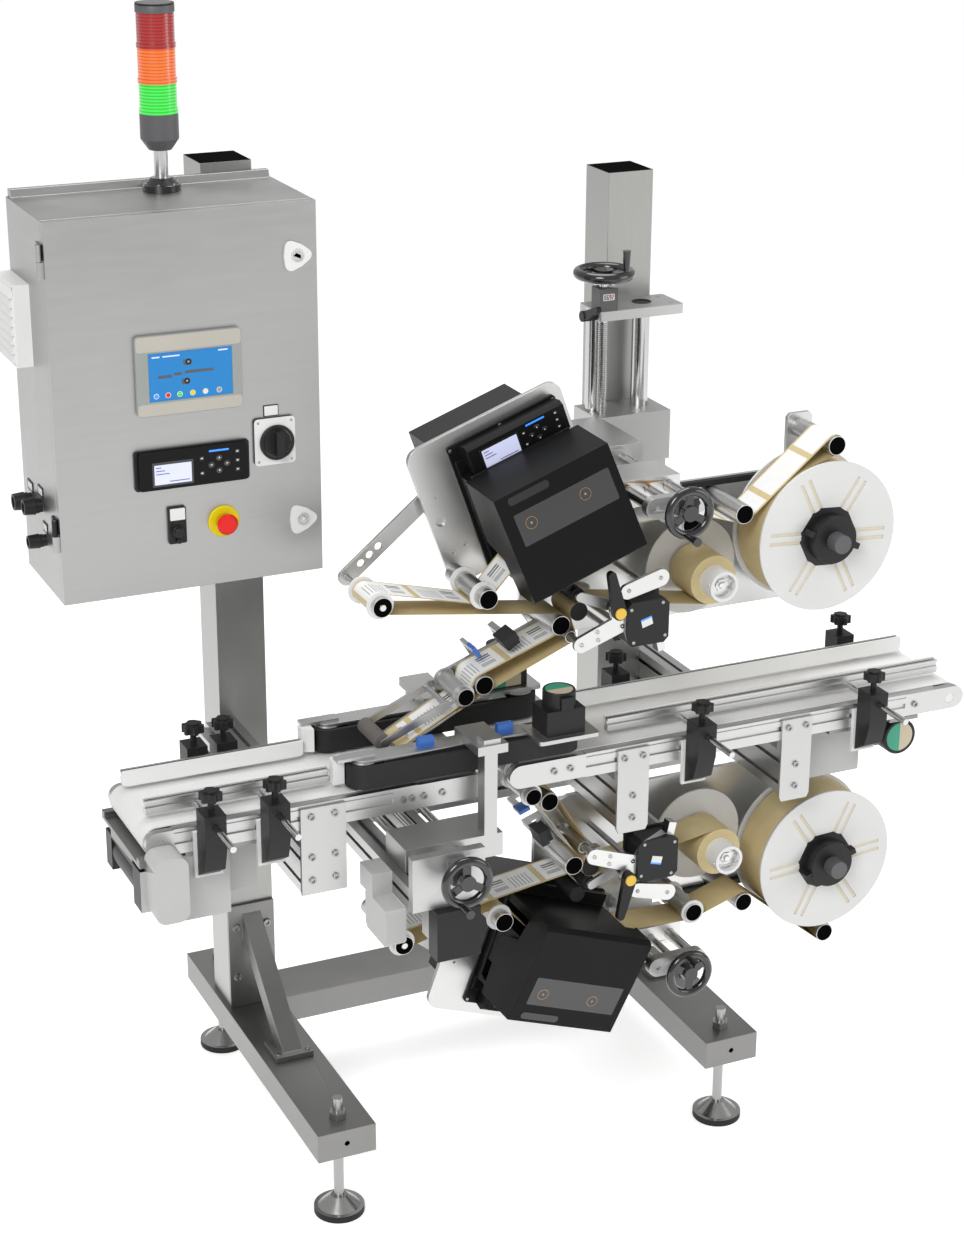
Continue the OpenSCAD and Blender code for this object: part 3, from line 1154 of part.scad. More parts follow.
// Dancer arm, on a pivot at the back of the head plate
dancer_pivot = [240, 1404];
dancer_y0 = reel_plate_y0 + 20;
dancer_y1 = dancer_y0 + 8;
function between(a, b, t) = a + (b - a) * t;
module dancer_arm_parts() {
  color(alu) difference() {
    slab_y(dancer_y0, dancer_y1) polygon(pill(dancer_pivot, 16, dancer_c, 16));
    for (t = [0.6, 0.71, 0.82]) let (p = between(dancer_pivot, dancer_c, t))
      rod_y(p.x, p.y, 8, dancer_y0 - 1, dancer_y1 + 1);
    rod_y(dancer_pivot.x, dancer_pivot.y, dancer_pin_r + fit, dancer_y0 - 1, dancer_y1 + 1);
  }
  color(bright) rod_y(dancer_c.x, dancer_c.y, 6, -web_y - 20, dancer_y0);
}
module dancer_roller_parts() {
  flanged_roller(dancer_c, roller_r, -web_y - 18, web_y + 20, 6 + fit);
}
// A roller with two white collars that keep the web on its track
module flanged_roller(c, r, y0, y1, bore) {
  color(alu) tube_y(c.x, c.y, r, bore, y0, y1);
  color(white) for (s = [-1, 1]) tube_y(c.x, c.y, r + 7, r, s < 0 ? -web_y - 6 : web_y + 2, s < 0 ? -web_y - 2 : web_y + 6);
}
module plain_roller(c, r, y0, y1) {
  color(alu) rod_y(c.x, c.y, r, y0, y1);
}
module guide_rollers_parts() {
  for (c = [guide_top, guide_mid]) plain_roller(c, roller_r, -web_y - 6, reel_plate_y0);
  color(alu) rod_y(guide_near.x, guide_near.y, roller_r, -web_y - 10, reel_plate_y0);
  color(white) for (y = [-web_y - 6, web_y + 2]) tube_y(guide_near.x, guide_near.y, roller_r + 6, roller_r, y, y + 4);
  color(alu) rod_y(exit_roller.x, exit_roller.y, roller_r, -web_y - 30, plate_y0);
  color(white) for (y = [-web_y - 6, web_y + 2]) tube_y(exit_roller.x, exit_roller.y, roller_r + 7, roller_r, y, y + 4);
  plain_roller(turn_roller, roller_r, -web_y - 12, reel_plate_y0);
  color(black) rod_y(459, 1258, 16, -32, reel_plate_y0);
}

// Drive roller, its motor and the nip lever
module drive_roller_parts() {
  color(rubber_black) rod_y(drive_c.x, drive_c.y, drive_r, -web_y, web_y);
  color(steel) rod_y(drive_c.x, drive_c.y, 6, web_y, reel_plate_y0);
}
lever_pivot = [537, 1210];
module nip_lever_parts() {
  color(rubber_black) rod_y(press_c.x, press_c.y, press_r, -web_y, web_y);
  for (y = [-web_y - 12, web_y + 4]) color(alu) slab_y(y, y + 8) polygon(pill(lever_pivot, 11, press_c, 9));
  color(steel) rod_y(press_c.x, press_c.y, 5, -web_y - 4, -web_y);
  color(steel) rod_y(press_c.x, press_c.y, 5, web_y, web_y + 4);
  // stub shafts at both sides, so that the web runs free between them
  color(steel) rod_y(lever_pivot.x, lever_pivot.y, 5, -92, -web_y - 4);
  color(steel) rod_y(lever_pivot.x, lever_pivot.y, 5, web_y + 4, reel_plate_y0);
  color(black) slab_y(-104, -92) polygon(pill(lever_pivot, 14, [519, 1286], 8));
  color(amber) rod_y(lever_pivot.x, lever_pivot.y, 11, -107, -104);
}

// Fixed pieces of the peeling head, with the drive motor and side plates
motor_c = [600, 1180];
module drive_side() {
  color(bright) difference() {
    slab_y(-88, -80) union() {
      polygon(pill(idler_c, 16, [549, 1184], 18));
      polygon(pill([549, 1184], 18, lever_pivot, 13));
    }
    rod_y(lever_pivot.x, lever_pivot.y, 5 + fit, -89, -79);
  }
  for (p = [idler_c, [500, 1158], [498, 1174], [549, 1178]]) color(steel) screw_y(p[0], p[1], 4, -88);
  // blank name plate beside the lever
  color(bright) slab_y(-88, -80) polygon(pill([560, 1244], 15, [629, 1262], 17));
  color(steel) rod_y(idler_c.x, idler_c.y, 7, -80, -web_y - 2);
  for (p = [[549, 1178], [600, 1254]]) color(steel) rod_y(p[0], p[1], 6, -80, reel_plate_y0);
  // stepping motor with its corner cuts, on a bracket
  m = 44;
  k = 34;
  color(black) slab_y(-96, -46) translate(motor_c) polygon([[-k, -m], [k, -m], [m, -k], [m, k], [k, m], [-k, m], [-m, k], [-m, -k]]);
  color(rubber_black) slab_y(-46, -40) polygon(rounded(motor_c - [m + 4, m + 4], motor_c + [m + 4, m + 4], 6));
  for (dx = [-38, 38]) color(steel) rod_y(motor_c.x + dx, motor_c.y - 36, 6, -40, reel_plate_y0);
  color(black) slab_y(-84, -62) translate(motor_c) polygon([[24, -42], [30, -68], [46, -64], [40, -38]]);
}
// Peeling head: head is [big roller, small roller, tip] in X and Z
arm_y0 = web_y + 8;
arm_y1 = web_y + 16;
plate_front = -web_y - 4;
rear_half = tip_r - 0.9;
module peel_head(head) {
  big = head[0];
  small = head[1];
  tip = head[2];
  h = heading(on(small, peel_small_r, -1), on(tip, tip_r, 1));
  along = [cos(h), sin(h)];
  across = [-sin(h), cos(h)];
  reach = (small - tip) * -along;
  rear = tip - along * (reach - 26);
  color(alu) slab_y(arm_y0, arm_y1) union() {
    polygon(pill(idler_c, 17, big, 15));
    polygon(pill(big, 15, small, 14));
    polygon(pill(small, 14, rear, 7));
  }
  color(steel) block([idler_c.x - 14, arm_y1, idler_c.y - 12], [idler_c.x + 24, reel_plate_y0, idler_c.y + 12]);
  color(alu) rod_y(big.x, big.y, peel_big_r, -web_y - 8, arm_y0);
  color(alu) rod_y(small.x, small.y, peel_small_r, -web_y - 16, arm_y0);
  color(white) for (y = [-web_y - 5, web_y + 1]) tube_y(small.x, small.y, peel_small_r + 5, peel_small_r, y, y + 4);
  color(steel) rod_y(idler_c.x, idler_c.y, idler_r, -web_y - 2, arm_y0);
  color(rubber_black) slab_y(plate_front, arm_y0) polygon(concat(
    arc(tip, tip_r, h - 90, h + 90, 10), [rear + across * rear_half, rear - across * rear_half]));
  // brush block and label sensor over the label strand
  mid = between(big, turn_roller, 0.5);
  strand = turn_roller - big;
  translate([mid.x, 0, mid.y]) rotate([0, -atan2(strand.y, strand.x), 0]) {
    y0 = arm_y0 + 1;
    y1 = arm_y1 - 1;
    color(black) block([-16, -34, 24], [16, 12, 40]);
    color(rubber_black) block([-14, -30, 14], [14, 8, 24]);
    color(steel) block([-6, 12, 26], [6, y1, 38]);
    color(alu) block([-6, y0, -4], [6, y1, 26]);
    color([0.10, 0.30, 0.66]) block([-66, -10, 30], [-58, 20, 54]);
    color(steel) block([-66, 20, 38], [-58, y1, 50]);
    color(alu) block([-66, y0, -4], [-58, y1, 38]);
    color(alu) block([-66, y0, -14], [6, y1, -4]);
  }
}
// Sponge roller that presses the label on, on its two arms
sponge_c = [88, 1004];
module sponge_roller() {
  root = [214, 1058];
  color([0.42, 0.40, 0.38]) rod_y(sponge_c.x, sponge_c.y, 15, -36, 52);
  color(steel) rod_y(sponge_c.x, sponge_c.y, 4, -42, 58);
  for (y = [-42, 53]) color(steel) slab_y(y, y + 5) polygon(pill(sponge_c, 7, root, 8));
  color(steel) rod_y(root.x, root.y, 5, -37, 53);
  color(steel) block([root.x, arm_y0, root.y], [root.x + 26, arm_y0 + 5, root.y + 14]);
}

// Reels
flange_y = [-57, 46];
hub_r = 38;
module reel_parts() {
  slot_pairs = 6;
  for (s = [0, 1]) color(pale) difference() {
    rod_y(reel_c.x, reel_c.y, reel_d / 2, s == 0 ? flange_y[0] : flange_y[1], s == 0 ? flange_y[0] + 4 : flange_y[1] + 4);
    rod_y(reel_c.x, reel_c.y, hub_r, -60, 60);
    if (s == 0) for (i = [0:slot_pairs - 1], dz = [-9, 9])
      translate([reel_c.x, flange_y[0] - 1, reel_c.y]) rotate([0, i * 60 + 4, 0])
        block([60, 0, dz - 3.5], [reel_d / 2 - 22, 6, dz + 3.5]);
  }
  color(kraft) tube_y(reel_c.x, reel_c.y, roll_d / 2, hub_r, -web_y, web_y);
  color(black) rod_y(reel_c.x, reel_c.y, hub_r, flange_y[0], flange_y[1] + 4);
  color(black) tube_y(reel_c.x, reel_c.y, 47, 18.5, flange_y[0] - 28, flange_y[0]);
  for (a = [20, 200]) color(black) translate([reel_c.x, 0, reel_c.y]) rotate([0, a, 0])
    block([40, flange_y[0] - 26, -6], [60, flange_y[0] - 8, 6]);
  color(steel) rod_y(reel_c.x, reel_c.y, 18.5, -113, flange_y[0]);
  color(steel) rod_y(reel_c.x, reel_c.y, 16, flange_y[1] + 4, reel_plate_y0 - air);
}
module rewind_parts() {
  color(pale) rod_y(rewind_c.x, rewind_c.y, rewind_d / 2, 48, 52);
  color(kraft) tube_y(rewind_c.x, rewind_c.y, waste_d / 2, 30, -web_y - 2, web_y + 2);
  color(white) tube_y(rewind_c.x, rewind_c.y, 30, 24, -85, 48);
  color(steel) rod_y(rewind_c.x, rewind_c.y, 24, -70, 48);
  color(steel) rod_y(rewind_c.x, rewind_c.y, 16, 52, reel_plate_y0 - air);
}

// Nodes of the upper unit
arm_x0 = slide_screw_x - 3;
arm_x1 = arm_x0 + 100;
module upper_cross_shafts() {
  seated() {
    cross_shafts_parts();
    color(alu) block([arm_x0, slide_y1, block_z[0]], [arm_x1, 383, carriage_z1]);
    color(alu) block([arm_x0, 383, carriage_z0 + 20], [carriage_x1, lift_y0, carriage_z1]);
  }
}
module upper_cross_handwheel() {
  seated() cross_handwheel_parts();
}
module upper_head_plate() {
  seated() head_plate_parts();
}
module upper_print_engine() {
  seated() print_engine_parts();
}
module upper_engine_cover() {
  seated() engine_cover_parts();
}
module upper_dancer_arm() {
  seated() dancer_arm_parts();
}
module upper_dancer_roller() {
  seated() dancer_roller_parts();
}
module upper_drive_roller() {
  seated() drive_roller_parts();
}
module upper_nip_lever() {
  seated() nip_lever_parts();
}
module upper_guide_rollers() {
  seated() guide_rollers_parts();
}
module upper_applicator() {
  seated() {
    drive_side();
    peel_head(upper_head);
    sponge_roller();
  }
}
module upper_reel() {
  seated() reel_parts();
}
module upper_rewind() {
  seated() rewind_parts();
}
module upper_label_web() {
  seated() web_parts(upper_head);
}

// Nodes of the lower unit
low_arm_z = 2 * mid_z - carriage_z1;
module lower_cross_shafts() {
  seated() {
    lower_place() cross_shafts_parts();
    color(alu) block([arm_x0 + unit_shift, slide_y1, low_arm_z], [arm_x1 + unit_shift, col_y - 15, low_arm_z + 45]);
    color(alu) block([arm_x0 + unit_shift, col_y - 15, low_arm_z + 22], [right_x + col_w / 2, col_y, low_arm_z + 120]);
  }
}
module lower_cross_handwheel() {
  seated() lower_place() cross_handwheel_parts();
}
module lower_head_plate() {
  seated() lower_place() head_plate_parts();
}
module lower_print_engine() {
  seated() lower_place() print_engine_parts();
}
module lower_engine_cover() {
  seated() lower_place() engine_cover_parts();
}
module lower_dancer_arm() {
  seated() lower_place() dancer_arm_parts();
}
module lower_dancer_roller() {
  seated() lower_place() dancer_roller_parts();
}
module lower_drive_roller() {
  seated() lower_place() drive_roller_parts();
}
module lower_nip_lever() {
  seated() lower_place() nip_lever_parts();
}
module lower_guide_rollers() {
  seated() lower_place() guide_rollers_parts();
}
module lower_applicator() {
  seated() lower_place() {
    drive_side();
    peel_head(lower_head);
  }
}
module lower_reel() {
  seated() lower_place() reel_parts();
}
module lower_rewind() {
  seated() lower_place() rewind_parts();
}
module lower_label_web() {
  seated() lower_place() web_parts(lower_head);
}

base_frame();
levelling_feet();
columns();
column_braces();
cross_rails();
hanger_plates();
conveyor_frames();
conveyor_belts();
conveyor_gearmotors();
guide_brackets();
cabinet_body();
stack_light();
cabinet_door();
door_fittings();
main_switch_knob();
estop_button();
door_lock_upper();
door_lock_lower();
lift_frame();
lift_handwheel();
lift_carriage();
lift_clamp_lever();
infeed_front_guide();
infeed_back_guide();
outfeed_front_guide();
outfeed_back_guide();
infeed_drum();
outfeed_drum();
centring_frame();
front_side_belt();
back_side_belt();
centring_handwheel();
upper_cross_shafts();
upper_cross_handwheel();
upper_head_plate();
upper_print_engine();
upper_engine_cover();
upper_dancer_arm();
upper_dancer_roller();
upper_drive_roller();
upper_nip_lever();
upper_guide_rollers();
upper_applicator();
upper_reel();
upper_rewind();
upper_label_web();
lower_cross_shafts();
lower_cross_handwheel();
lower_head_plate();
lower_print_engine();
lower_engine_cover();
lower_dancer_arm();
lower_dancer_roller();
lower_drive_roller();
lower_nip_lever();
lower_guide_rollers();
lower_applicator();
lower_reel();
lower_rewind();
lower_label_web();
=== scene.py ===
import json
import math

import bmesh
import bpy
import numpy as np
from mathutils import Matrix, Vector

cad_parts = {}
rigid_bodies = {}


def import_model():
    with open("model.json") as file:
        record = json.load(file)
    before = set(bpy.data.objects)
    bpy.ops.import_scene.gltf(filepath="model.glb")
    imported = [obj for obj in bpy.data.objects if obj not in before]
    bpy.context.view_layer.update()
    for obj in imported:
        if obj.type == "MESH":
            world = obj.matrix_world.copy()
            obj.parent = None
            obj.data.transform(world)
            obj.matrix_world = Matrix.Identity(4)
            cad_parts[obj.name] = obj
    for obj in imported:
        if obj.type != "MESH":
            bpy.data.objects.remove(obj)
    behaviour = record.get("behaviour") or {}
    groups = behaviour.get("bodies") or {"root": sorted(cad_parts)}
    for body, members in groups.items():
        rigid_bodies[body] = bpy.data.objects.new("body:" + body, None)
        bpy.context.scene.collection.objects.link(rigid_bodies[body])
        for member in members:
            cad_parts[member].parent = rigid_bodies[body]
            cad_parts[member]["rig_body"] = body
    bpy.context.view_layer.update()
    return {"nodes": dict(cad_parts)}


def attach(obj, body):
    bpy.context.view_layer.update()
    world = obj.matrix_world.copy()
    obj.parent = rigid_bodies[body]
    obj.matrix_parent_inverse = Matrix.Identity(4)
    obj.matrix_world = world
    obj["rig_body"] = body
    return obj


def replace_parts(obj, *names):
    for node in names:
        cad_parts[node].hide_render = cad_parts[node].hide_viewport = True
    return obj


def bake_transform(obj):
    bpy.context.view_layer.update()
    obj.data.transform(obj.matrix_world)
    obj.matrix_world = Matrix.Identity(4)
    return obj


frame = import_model()

# Millimetres on the machine: X along the belt, Y to the back, Z up, from the left front foot
machine = {"shift": (432.0, 205.0, 0.0), "mirrorZ": 931.5, "unitShift": 37.0, "tilt": 20.0,
           "engineCorner": (281.0, 1241.0)}


def toRow(points):
    # machine millimetres to the frame's metres
    return (np.asarray(points, float) - machine["shift"]) / 1000.0


def fromRow(points):
    return np.asarray(points, float) * 1000.0 + machine["shift"]


def stay(points):
    return np.array(points, float)


def turnedOver(points, shift):
    # mirrored about the level plane between the two labelling units, and moved along X
    out = np.array(points, float)
    out[..., 0] += shift
    out[..., 2] = 2 * machine["mirrorZ"] - out[..., 2]
    return out


def lowered(points):
    # from the upper unit's place to the lower one's
    return turnedOver(points, machine["unitShift"])


def raised(points):
    return turnedOver(points, -machine["unitShift"])


def tilted(points):
    # engine coordinates (u, y, v) turned by the tilt about the engine's lower left corner
    p = np.asarray(points, float)
    a = math.radians(machine["tilt"])
    x = machine["engineCorner"][0] + p[..., 0] * math.cos(a) - p[..., 2] * math.sin(a)
    z = machine["engineCorner"][1] + p[..., 0] * math.sin(a) + p[..., 2] * math.cos(a)
    return np.stack([x, p[..., 1], z], axis=-1)


def operator(kind, swapped=False):
    # one Math node for each use of an arithmetic sign
    return lambda self, other: self.op(kind, other, swapped)


class Val:
    # a node output in arithmetic
    def __init__(self, recipe, socket):
        self.recipe = recipe
        self.socket = socket

    def op(self, kind, other=0.0, swapped=False):
        first, second = (other, self) if swapped else (self, other)
        return self.recipe.put("ShaderNodeMath", {"operation": kind}, {0: first, 1: second})

    __add__, __radd__ = operator("ADD"), operator("ADD", True)
    __sub__, __mul__, __mod__ = operator("SUBTRACT"), operator("MULTIPLY"), operator("FLOORED_MODULO")
    __gt__, __lt__ = operator("GREATER_THAN"), operator("LESS_THAN")


class Recipe:
    # a material's or the world's nodes: put() adds one with its settings first and then its sockets
    def __init__(self, name, kind="materials", shader="Principled BSDF"):
        self.made = getattr(bpy.data, kind).new(name + "Finish")
        self.made.use_nodes = True
        self.tree = self.made.node_tree
        self.shader = self.tree.nodes[shader]

    def join(self, socket, value):
        if isinstance(value, Val):
            self.tree.links.new(value.socket, socket)
        else:
            socket.default_value = value

    def put(self, kind, settings=None, values=None, out=0):
        node = self.tree.nodes.new(kind)
        for key, value in (settings or {}).items():
            setattr(node, key, value)
        for key, value in (values or {}).items():
            self.join(node.inputs[key], value)
        return Val(self, node.outputs[out])

    def set(self, **sockets):
        for key, value in sockets.items():
            if isinstance(value, tuple) and len(value) == 3:
                value = (*value, 1.0)
            self.join(self.shader.inputs[key.replace("_", " ")], value)

    def coords(self, scale=(1.0, 1.0, 1.0), turn=(0.0, 0.0, 0.0)):
        spot = self.put("ShaderNodeTexCoord", out="Object")
        return self.put("ShaderNodeMapping", None, {"Vector": spot, "Scale": scale, "Rotation": turn})

    def noise(self, scale, detail=2.0, turn=(0.0, 0.0, 0.0)):
        return self.put("ShaderNodeTexNoise", None,
                        {"Vector": self.coords(scale, turn), "Scale": 1.0, "Detail": detail})

    def mix(self, factor, first, second):
        pad = [(*c, 1.0) if isinstance(c, tuple) and len(c) == 3 else c for c in (first, second)]
        return self.put("ShaderNodeMix", {"data_type": "RGBA"}, {0: factor, 6: pad[0], 7: pad[1]}, out=2)

    def bump(self, height, strength, distance):
        values = {"Height": height, "Strength": strength, "Distance": distance}
        return self.put("ShaderNodeBump", None, values)


def shade(color, k):
    return tuple(min(c * k, 1.0) for c in color)


def metalFinish(name, color, rough, streak, spread, cloud, bumpBy=0.08, slant=0.0):
    # streaks of the brushing over slow clouds, in tone and in roughness
    r = Recipe(name)
    lines = r.noise(streak, 3.0, (0.0, slant, 0.0))
    clouds = r.noise((5, 5, 5), 2.0, (0.3, 0.5, 0.2))
    tone = lines * 0.5 + clouds * 0.5
    r.set(Base_Color=r.mix(tone, shade(color, 1 - cloud), shade(color, 1 + cloud)), Metallic=1.0,
          Roughness=rough + (tone - 0.5) * spread * 2, Normal=r.bump(lines, bumpBy, 0.0004))
    return r.made


def plasticFinish(name, color, rough, grain=900, bumpBy=0.15, coat=0.0, mirror=0.5, vary=0.06):
    # moulded grain with a slow change of tone
    r = Recipe(name)
    fine = r.noise((grain, grain, grain), 1.0)
    slow = r.noise((9, 9, 9))
    r.set(Base_Color=r.mix(slow, shade(color, 1 - vary), shade(color, 1 + vary)),
          Roughness=rough + (slow - 0.5) * 0.1, Normal=r.bump(fine, bumpBy, 0.0002),
          Coat_Weight=coat, Coat_Roughness=0.08, Specular_IOR_Level=mirror)
    return r.made


def lensFinish(name, color, glow):
    # ribbed lens of the stack light: level ribs in tone and relief
    r = Recipe(name)
    ribs = r.put("ShaderNodeTexWave", {"wave_type": "BANDS", "bands_direction": "Z", "wave_profile": "SIN"},
                 {"Vector": r.coords(), "Scale": 55.0, "Distortion": 0.0})
    r.set(Base_Color=r.mix(ribs, shade(color, 0.55), shade(color, 1.15)), Roughness=0.22, Coat_Weight=0.8,
          Coat_Roughness=0.05, Emission_Color=r.mix(ribs, shade(color, 0.5), color), Emission_Strength=glow,
          Normal=r.bump(ribs, 0.3, 0.0008))
    return r.made


def beltFinish(name):
    # fine weave of the conveyor belt
    r = Recipe(name)
    weave = r.put("ShaderNodeTexChecker", None, {"Vector": r.coords(), "Scale": 1400.0}, out="Fac")
    slow = r.noise((6, 25, 6))
    r.set(Base_Color=r.mix(slow, (0.74, 0.74, 0.73), (0.84, 0.84, 0.83)), Roughness=0.55,
          Normal=r.bump(weave, 0.12, 0.0001))
    return r.made


def paperFinish(name, low, high, stretch=(40, 40, 40)):
    # fibres in tone and relief
    r = Recipe(name)
    fibre = r.noise(stretch, 4.0)
    r.set(Base_Color=r.mix(fibre, low, high), Roughness=0.62, Normal=r.bump(fibre, 0.08, 0.0002))
    return r.made


backingColors = ((0.56, 0.45, 0.23), (0.67, 0.55, 0.30))
# One label in millimetres: "code" and "text" are boxes (from, to along the strip, from, to across it)
labelPrint = {"pitch": 112.0, "gap": 12.0, "edge": 5.0, "width": 80, "bars": 1.6, "code": (24, 52, 18, 62),
              "text": (60, 104, 14, 56), "line": (7.0, 2.2)}


def boxed(along, across, box):
    return (along > box[0]) * (along < box[1]) * (across > box[2]) * (across < box[3])


def labelFinish(name, printed=True):
    # labels on their backing: plain bars and plain grey lines, laid out along the strip's own UV
    r = Recipe(name)
    strip = r.put("ShaderNodeUVMap", {"uv_map": "strip"})
    split = r.put("ShaderNodeSeparateXYZ", None, {"Vector": strip}, "X")
    across = Val(r, split.socket.node.outputs["Y"])
    along = split % labelPrint["pitch"]
    edge = labelPrint["edge"]
    label = (along > labelPrint["gap"]) * (across > edge) * (across < labelPrint["width"] - edge)
    code = r.put("ShaderNodeTexWhiteNoise", {"noise_dimensions": "1D"},
                 {"W": (across * (1 / labelPrint["bars"])).op("FLOOR")})
    bars = (code > 0.5) * boxed(along, across, labelPrint["code"])
    lineStep, lineHeight = labelPrint["line"]
    rows = ((along % lineStep) < lineHeight) * boxed(along, across, labelPrint["text"])
    ink = bars * 0.9 + rows * 0.55
    fibre = r.noise((60, 60, 60), 3.0)
    paper = r.mix(fibre, (0.80, 0.80, 0.79), (0.88, 0.88, 0.87))
    inked = r.mix(ink, paper, (0.05, 0.05, 0.055)) if printed else paper
    backing = r.mix(fibre, *backingColors)
    r.set(Base_Color=r.mix(label, backing, inked), Roughness=0.5)
    return r.made


def smokedFinish(name):
    r = Recipe(name)
    slow = r.noise((14, 14, 14))
    r.set(Base_Color=r.mix(slow, (0.02, 0.02, 0.022), (0.035, 0.035, 0.038)), Roughness=0.08, Alpha=0.62,
          Coat_Weight=0.6, Coat_Roughness=0.03)
    return r.made


def glowFinish(name, low, high, strength):
    r = Recipe(name)
    slow = r.noise((20, 20, 20))
    color = r.mix(slow, low, high)
    r.set(Base_Color=color, Roughness=0.25, Emission_Color=color, Emission_Strength=strength)
    return r.made


looks = {
    # colour, roughness, streaks along x, y and z, change of roughness, clouds, relief, slant
    "sheet": (metalFinish, (0.42, 0.42, 0.415), 0.37, (9, 9, 90), 0.16, 0.14, 0.05, 0.75),
    "frame": (metalFinish, (0.27, 0.268, 0.26), 0.40, (10, 10, 10), 0.14, 0.16),
    "column": (metalFinish, (0.40, 0.398, 0.385), 0.35, (220, 220, 8), 0.10, 0.10),
    "railX": (metalFinish, (0.55, 0.55, 0.545), 0.34, (6, 320, 320), 0.10, 0.06),
    "railY": (metalFinish, (0.50, 0.50, 0.495), 0.34, (320, 6, 320), 0.10, 0.06),
    "plate": (metalFinish, (0.52, 0.52, 0.515), 0.40, (300, 300, 300), 0.04, 0.03, 0.03),
    "bright": (metalFinish, (0.66, 0.66, 0.65), 0.34, (260, 260, 260), 0.05, 0.03, 0.03),
    "chrome": (metalFinish, (0.58, 0.58, 0.58), 0.14, (300, 300, 40), 0.05, 0.04, 0.02),
    "screw": (metalFinish, (0.36, 0.36, 0.355), 0.30, (200, 200, 200), 0.08, 0.08),
    "rollerAlu": (metalFinish, (0.60, 0.60, 0.595), 0.30, (200, 5, 200), 0.10, 0.06),
    "footSteel": (metalFinish, (0.40, 0.40, 0.395), 0.24, (200, 200, 200), 0.06, 0.08),
    "bronze": (metalFinish, (0.45, 0.26, 0.12), 0.36, (200, 200, 200), 0.08, 0.10),
    # colour, roughness, grain, relief, coat, mirror, change of tone
    "black": (plasticFinish, (0.013, 0.013, 0.014), 0.42, 900, 0.15, 0.0, 0.3),
    "engine": (plasticFinish, (0.0075, 0.0075, 0.008), 0.34, 700, 0.2, 0.0, 0.13),
    "gloss": (plasticFinish, (0.012, 0.012, 0.013), 0.16, 200, 0.02, 0.6),
    "rubber": (plasticFinish, (0.018, 0.018, 0.019), 0.62, 500, 0.3, 0.0, 0.3),
    "grey": (plasticFinish, (0.10, 0.10, 0.105), 0.45),
    "beige": (plasticFinish, (0.50, 0.47, 0.41), 0.5, 600, 0.1),
    "plug": (plasticFinish, (0.002, 0.002, 0.002), 0.9, 300, 0.02, 0.0, 0.03),
    "pane": (plasticFinish, (0.050, 0.050, 0.050), 0.12, 60, 0.01, 0.3),
    "capBlack": (plasticFinish, (0.002, 0.002, 0.002), 0.95, 300, 0.05, 0.0, 0.02),
    "lcdInk": (plasticFinish, (0.20, 0.16, 0.34), 0.5, 300, 0.02),
    "bezel": (plasticFinish, (0.33, 0.35, 0.33), 0.45),
    "paleGuard": (plasticFinish, (0.50, 0.50, 0.49), 0.42, 300, 0.05),
    "white": (plasticFinish, (0.80, 0.80, 0.79), 0.42, 400, 0.05),
    "flange": (plasticFinish, (0.74, 0.74, 0.73), 0.38, 200, 0.03, 0.2),
    "yellow": (plasticFinish, (0.80, 0.66, 0.005), 0.40, 300, 0.05, 0.0, 0.3),
    "amberCap": (plasticFinish, (0.82, 0.52, 0.05), 0.35, 300, 0.05, 0.3),
    "red": (plasticFinish, (0.80, 0.012, 0.008), 0.34, 200, 0.02, 0.1, 0.3),
    "blue": (plasticFinish, (0.02, 0.13, 0.50), 0.35, 300, 0.05, 0.2),
    "green": (plasticFinish, (0.05, 0.36, 0.24), 0.4, 300, 0.05),
    "cream": (plasticFinish, (0.60, 0.53, 0.38), 0.45, 300, 0.05),
    "sponge": (plasticFinish, (0.13, 0.12, 0.11), 0.8, 1500, 0.8, 0.0, 0.5, 0.35),
    # woven, paper and printed; then lenses, panes and lit screens
    "belt": (beltFinish,),
    "kraft": (paperFinish, *backingColors),
    "rollSide": (paperFinish, (0.66, 0.60, 0.46), (0.78, 0.72, 0.58), (90, 90, 90)),
    "labels": (labelFinish,),
    "blankLabels": (labelFinish, False),
    "lensRed": (lensFinish, (0.36, 0.004, 0.004), 0.25),
    "lensOrange": (lensFinish, (0.80, 0.13, 0.004), 0.45),
    "lensGreen": (lensFinish, (0.02, 0.62, 0.04), 0.55),
    "smoked": (smokedFinish,),
    "screenBlue": (glowFinish, (0.004, 0.17, 0.46), (0.006, 0.20, 0.52), 0.22),
    "screenPale": (glowFinish, (0.55, 0.58, 0.80), (0.60, 0.63, 0.84), 0.4),
    # lit blue of the LED light bars and screen icons, also a painted glow on the motor label's blue band
    "ledBlue": (glowFinish, (0.03, 0.20, 0.75), (0.05, 0.26, 0.85), 0.8),
}
finishes = {name: make(name, *look) for name, (make, *look) in looks.items()}
print("finishes made:", len(finishes))


def wall(**limits):
    # a test on face centres: wall(x=(low, high), y=..., z=...) is true inside those limits
    axes = {"x": 0, "y": 1, "z": 2}

    def test(points):
        inside = np.ones(len(points), bool)
        for key, (low, high) in limits.items():
            inside &= (points[:, axes[key]] > low) & (points[:, axes[key]] < high)
        return inside
    return test


def near(axis, centre, radius, **limits):
    # inside a radius of a line along an axis, and inside further limits
    others = {"x": (1, 2), "y": (0, 2), "z": (0, 1)}[axis]

    def test(points):
        d = points[:, others] - np.array(centre)
        return (np.hypot(d[:, 0], d[:, 1]) < radius) & wall(**limits)(points)
    return test


def either(*tests):
    def test(points):
        return np.any([t(points) for t in tests], axis=0)
    return test


# Weld in metres; edges past the crisp angle stay sharp and are bevelled, faces within the flat one are joined
meshing = {"weld": 0.000002, "crisp": math.radians(32), "flat": math.radians(0.6)}


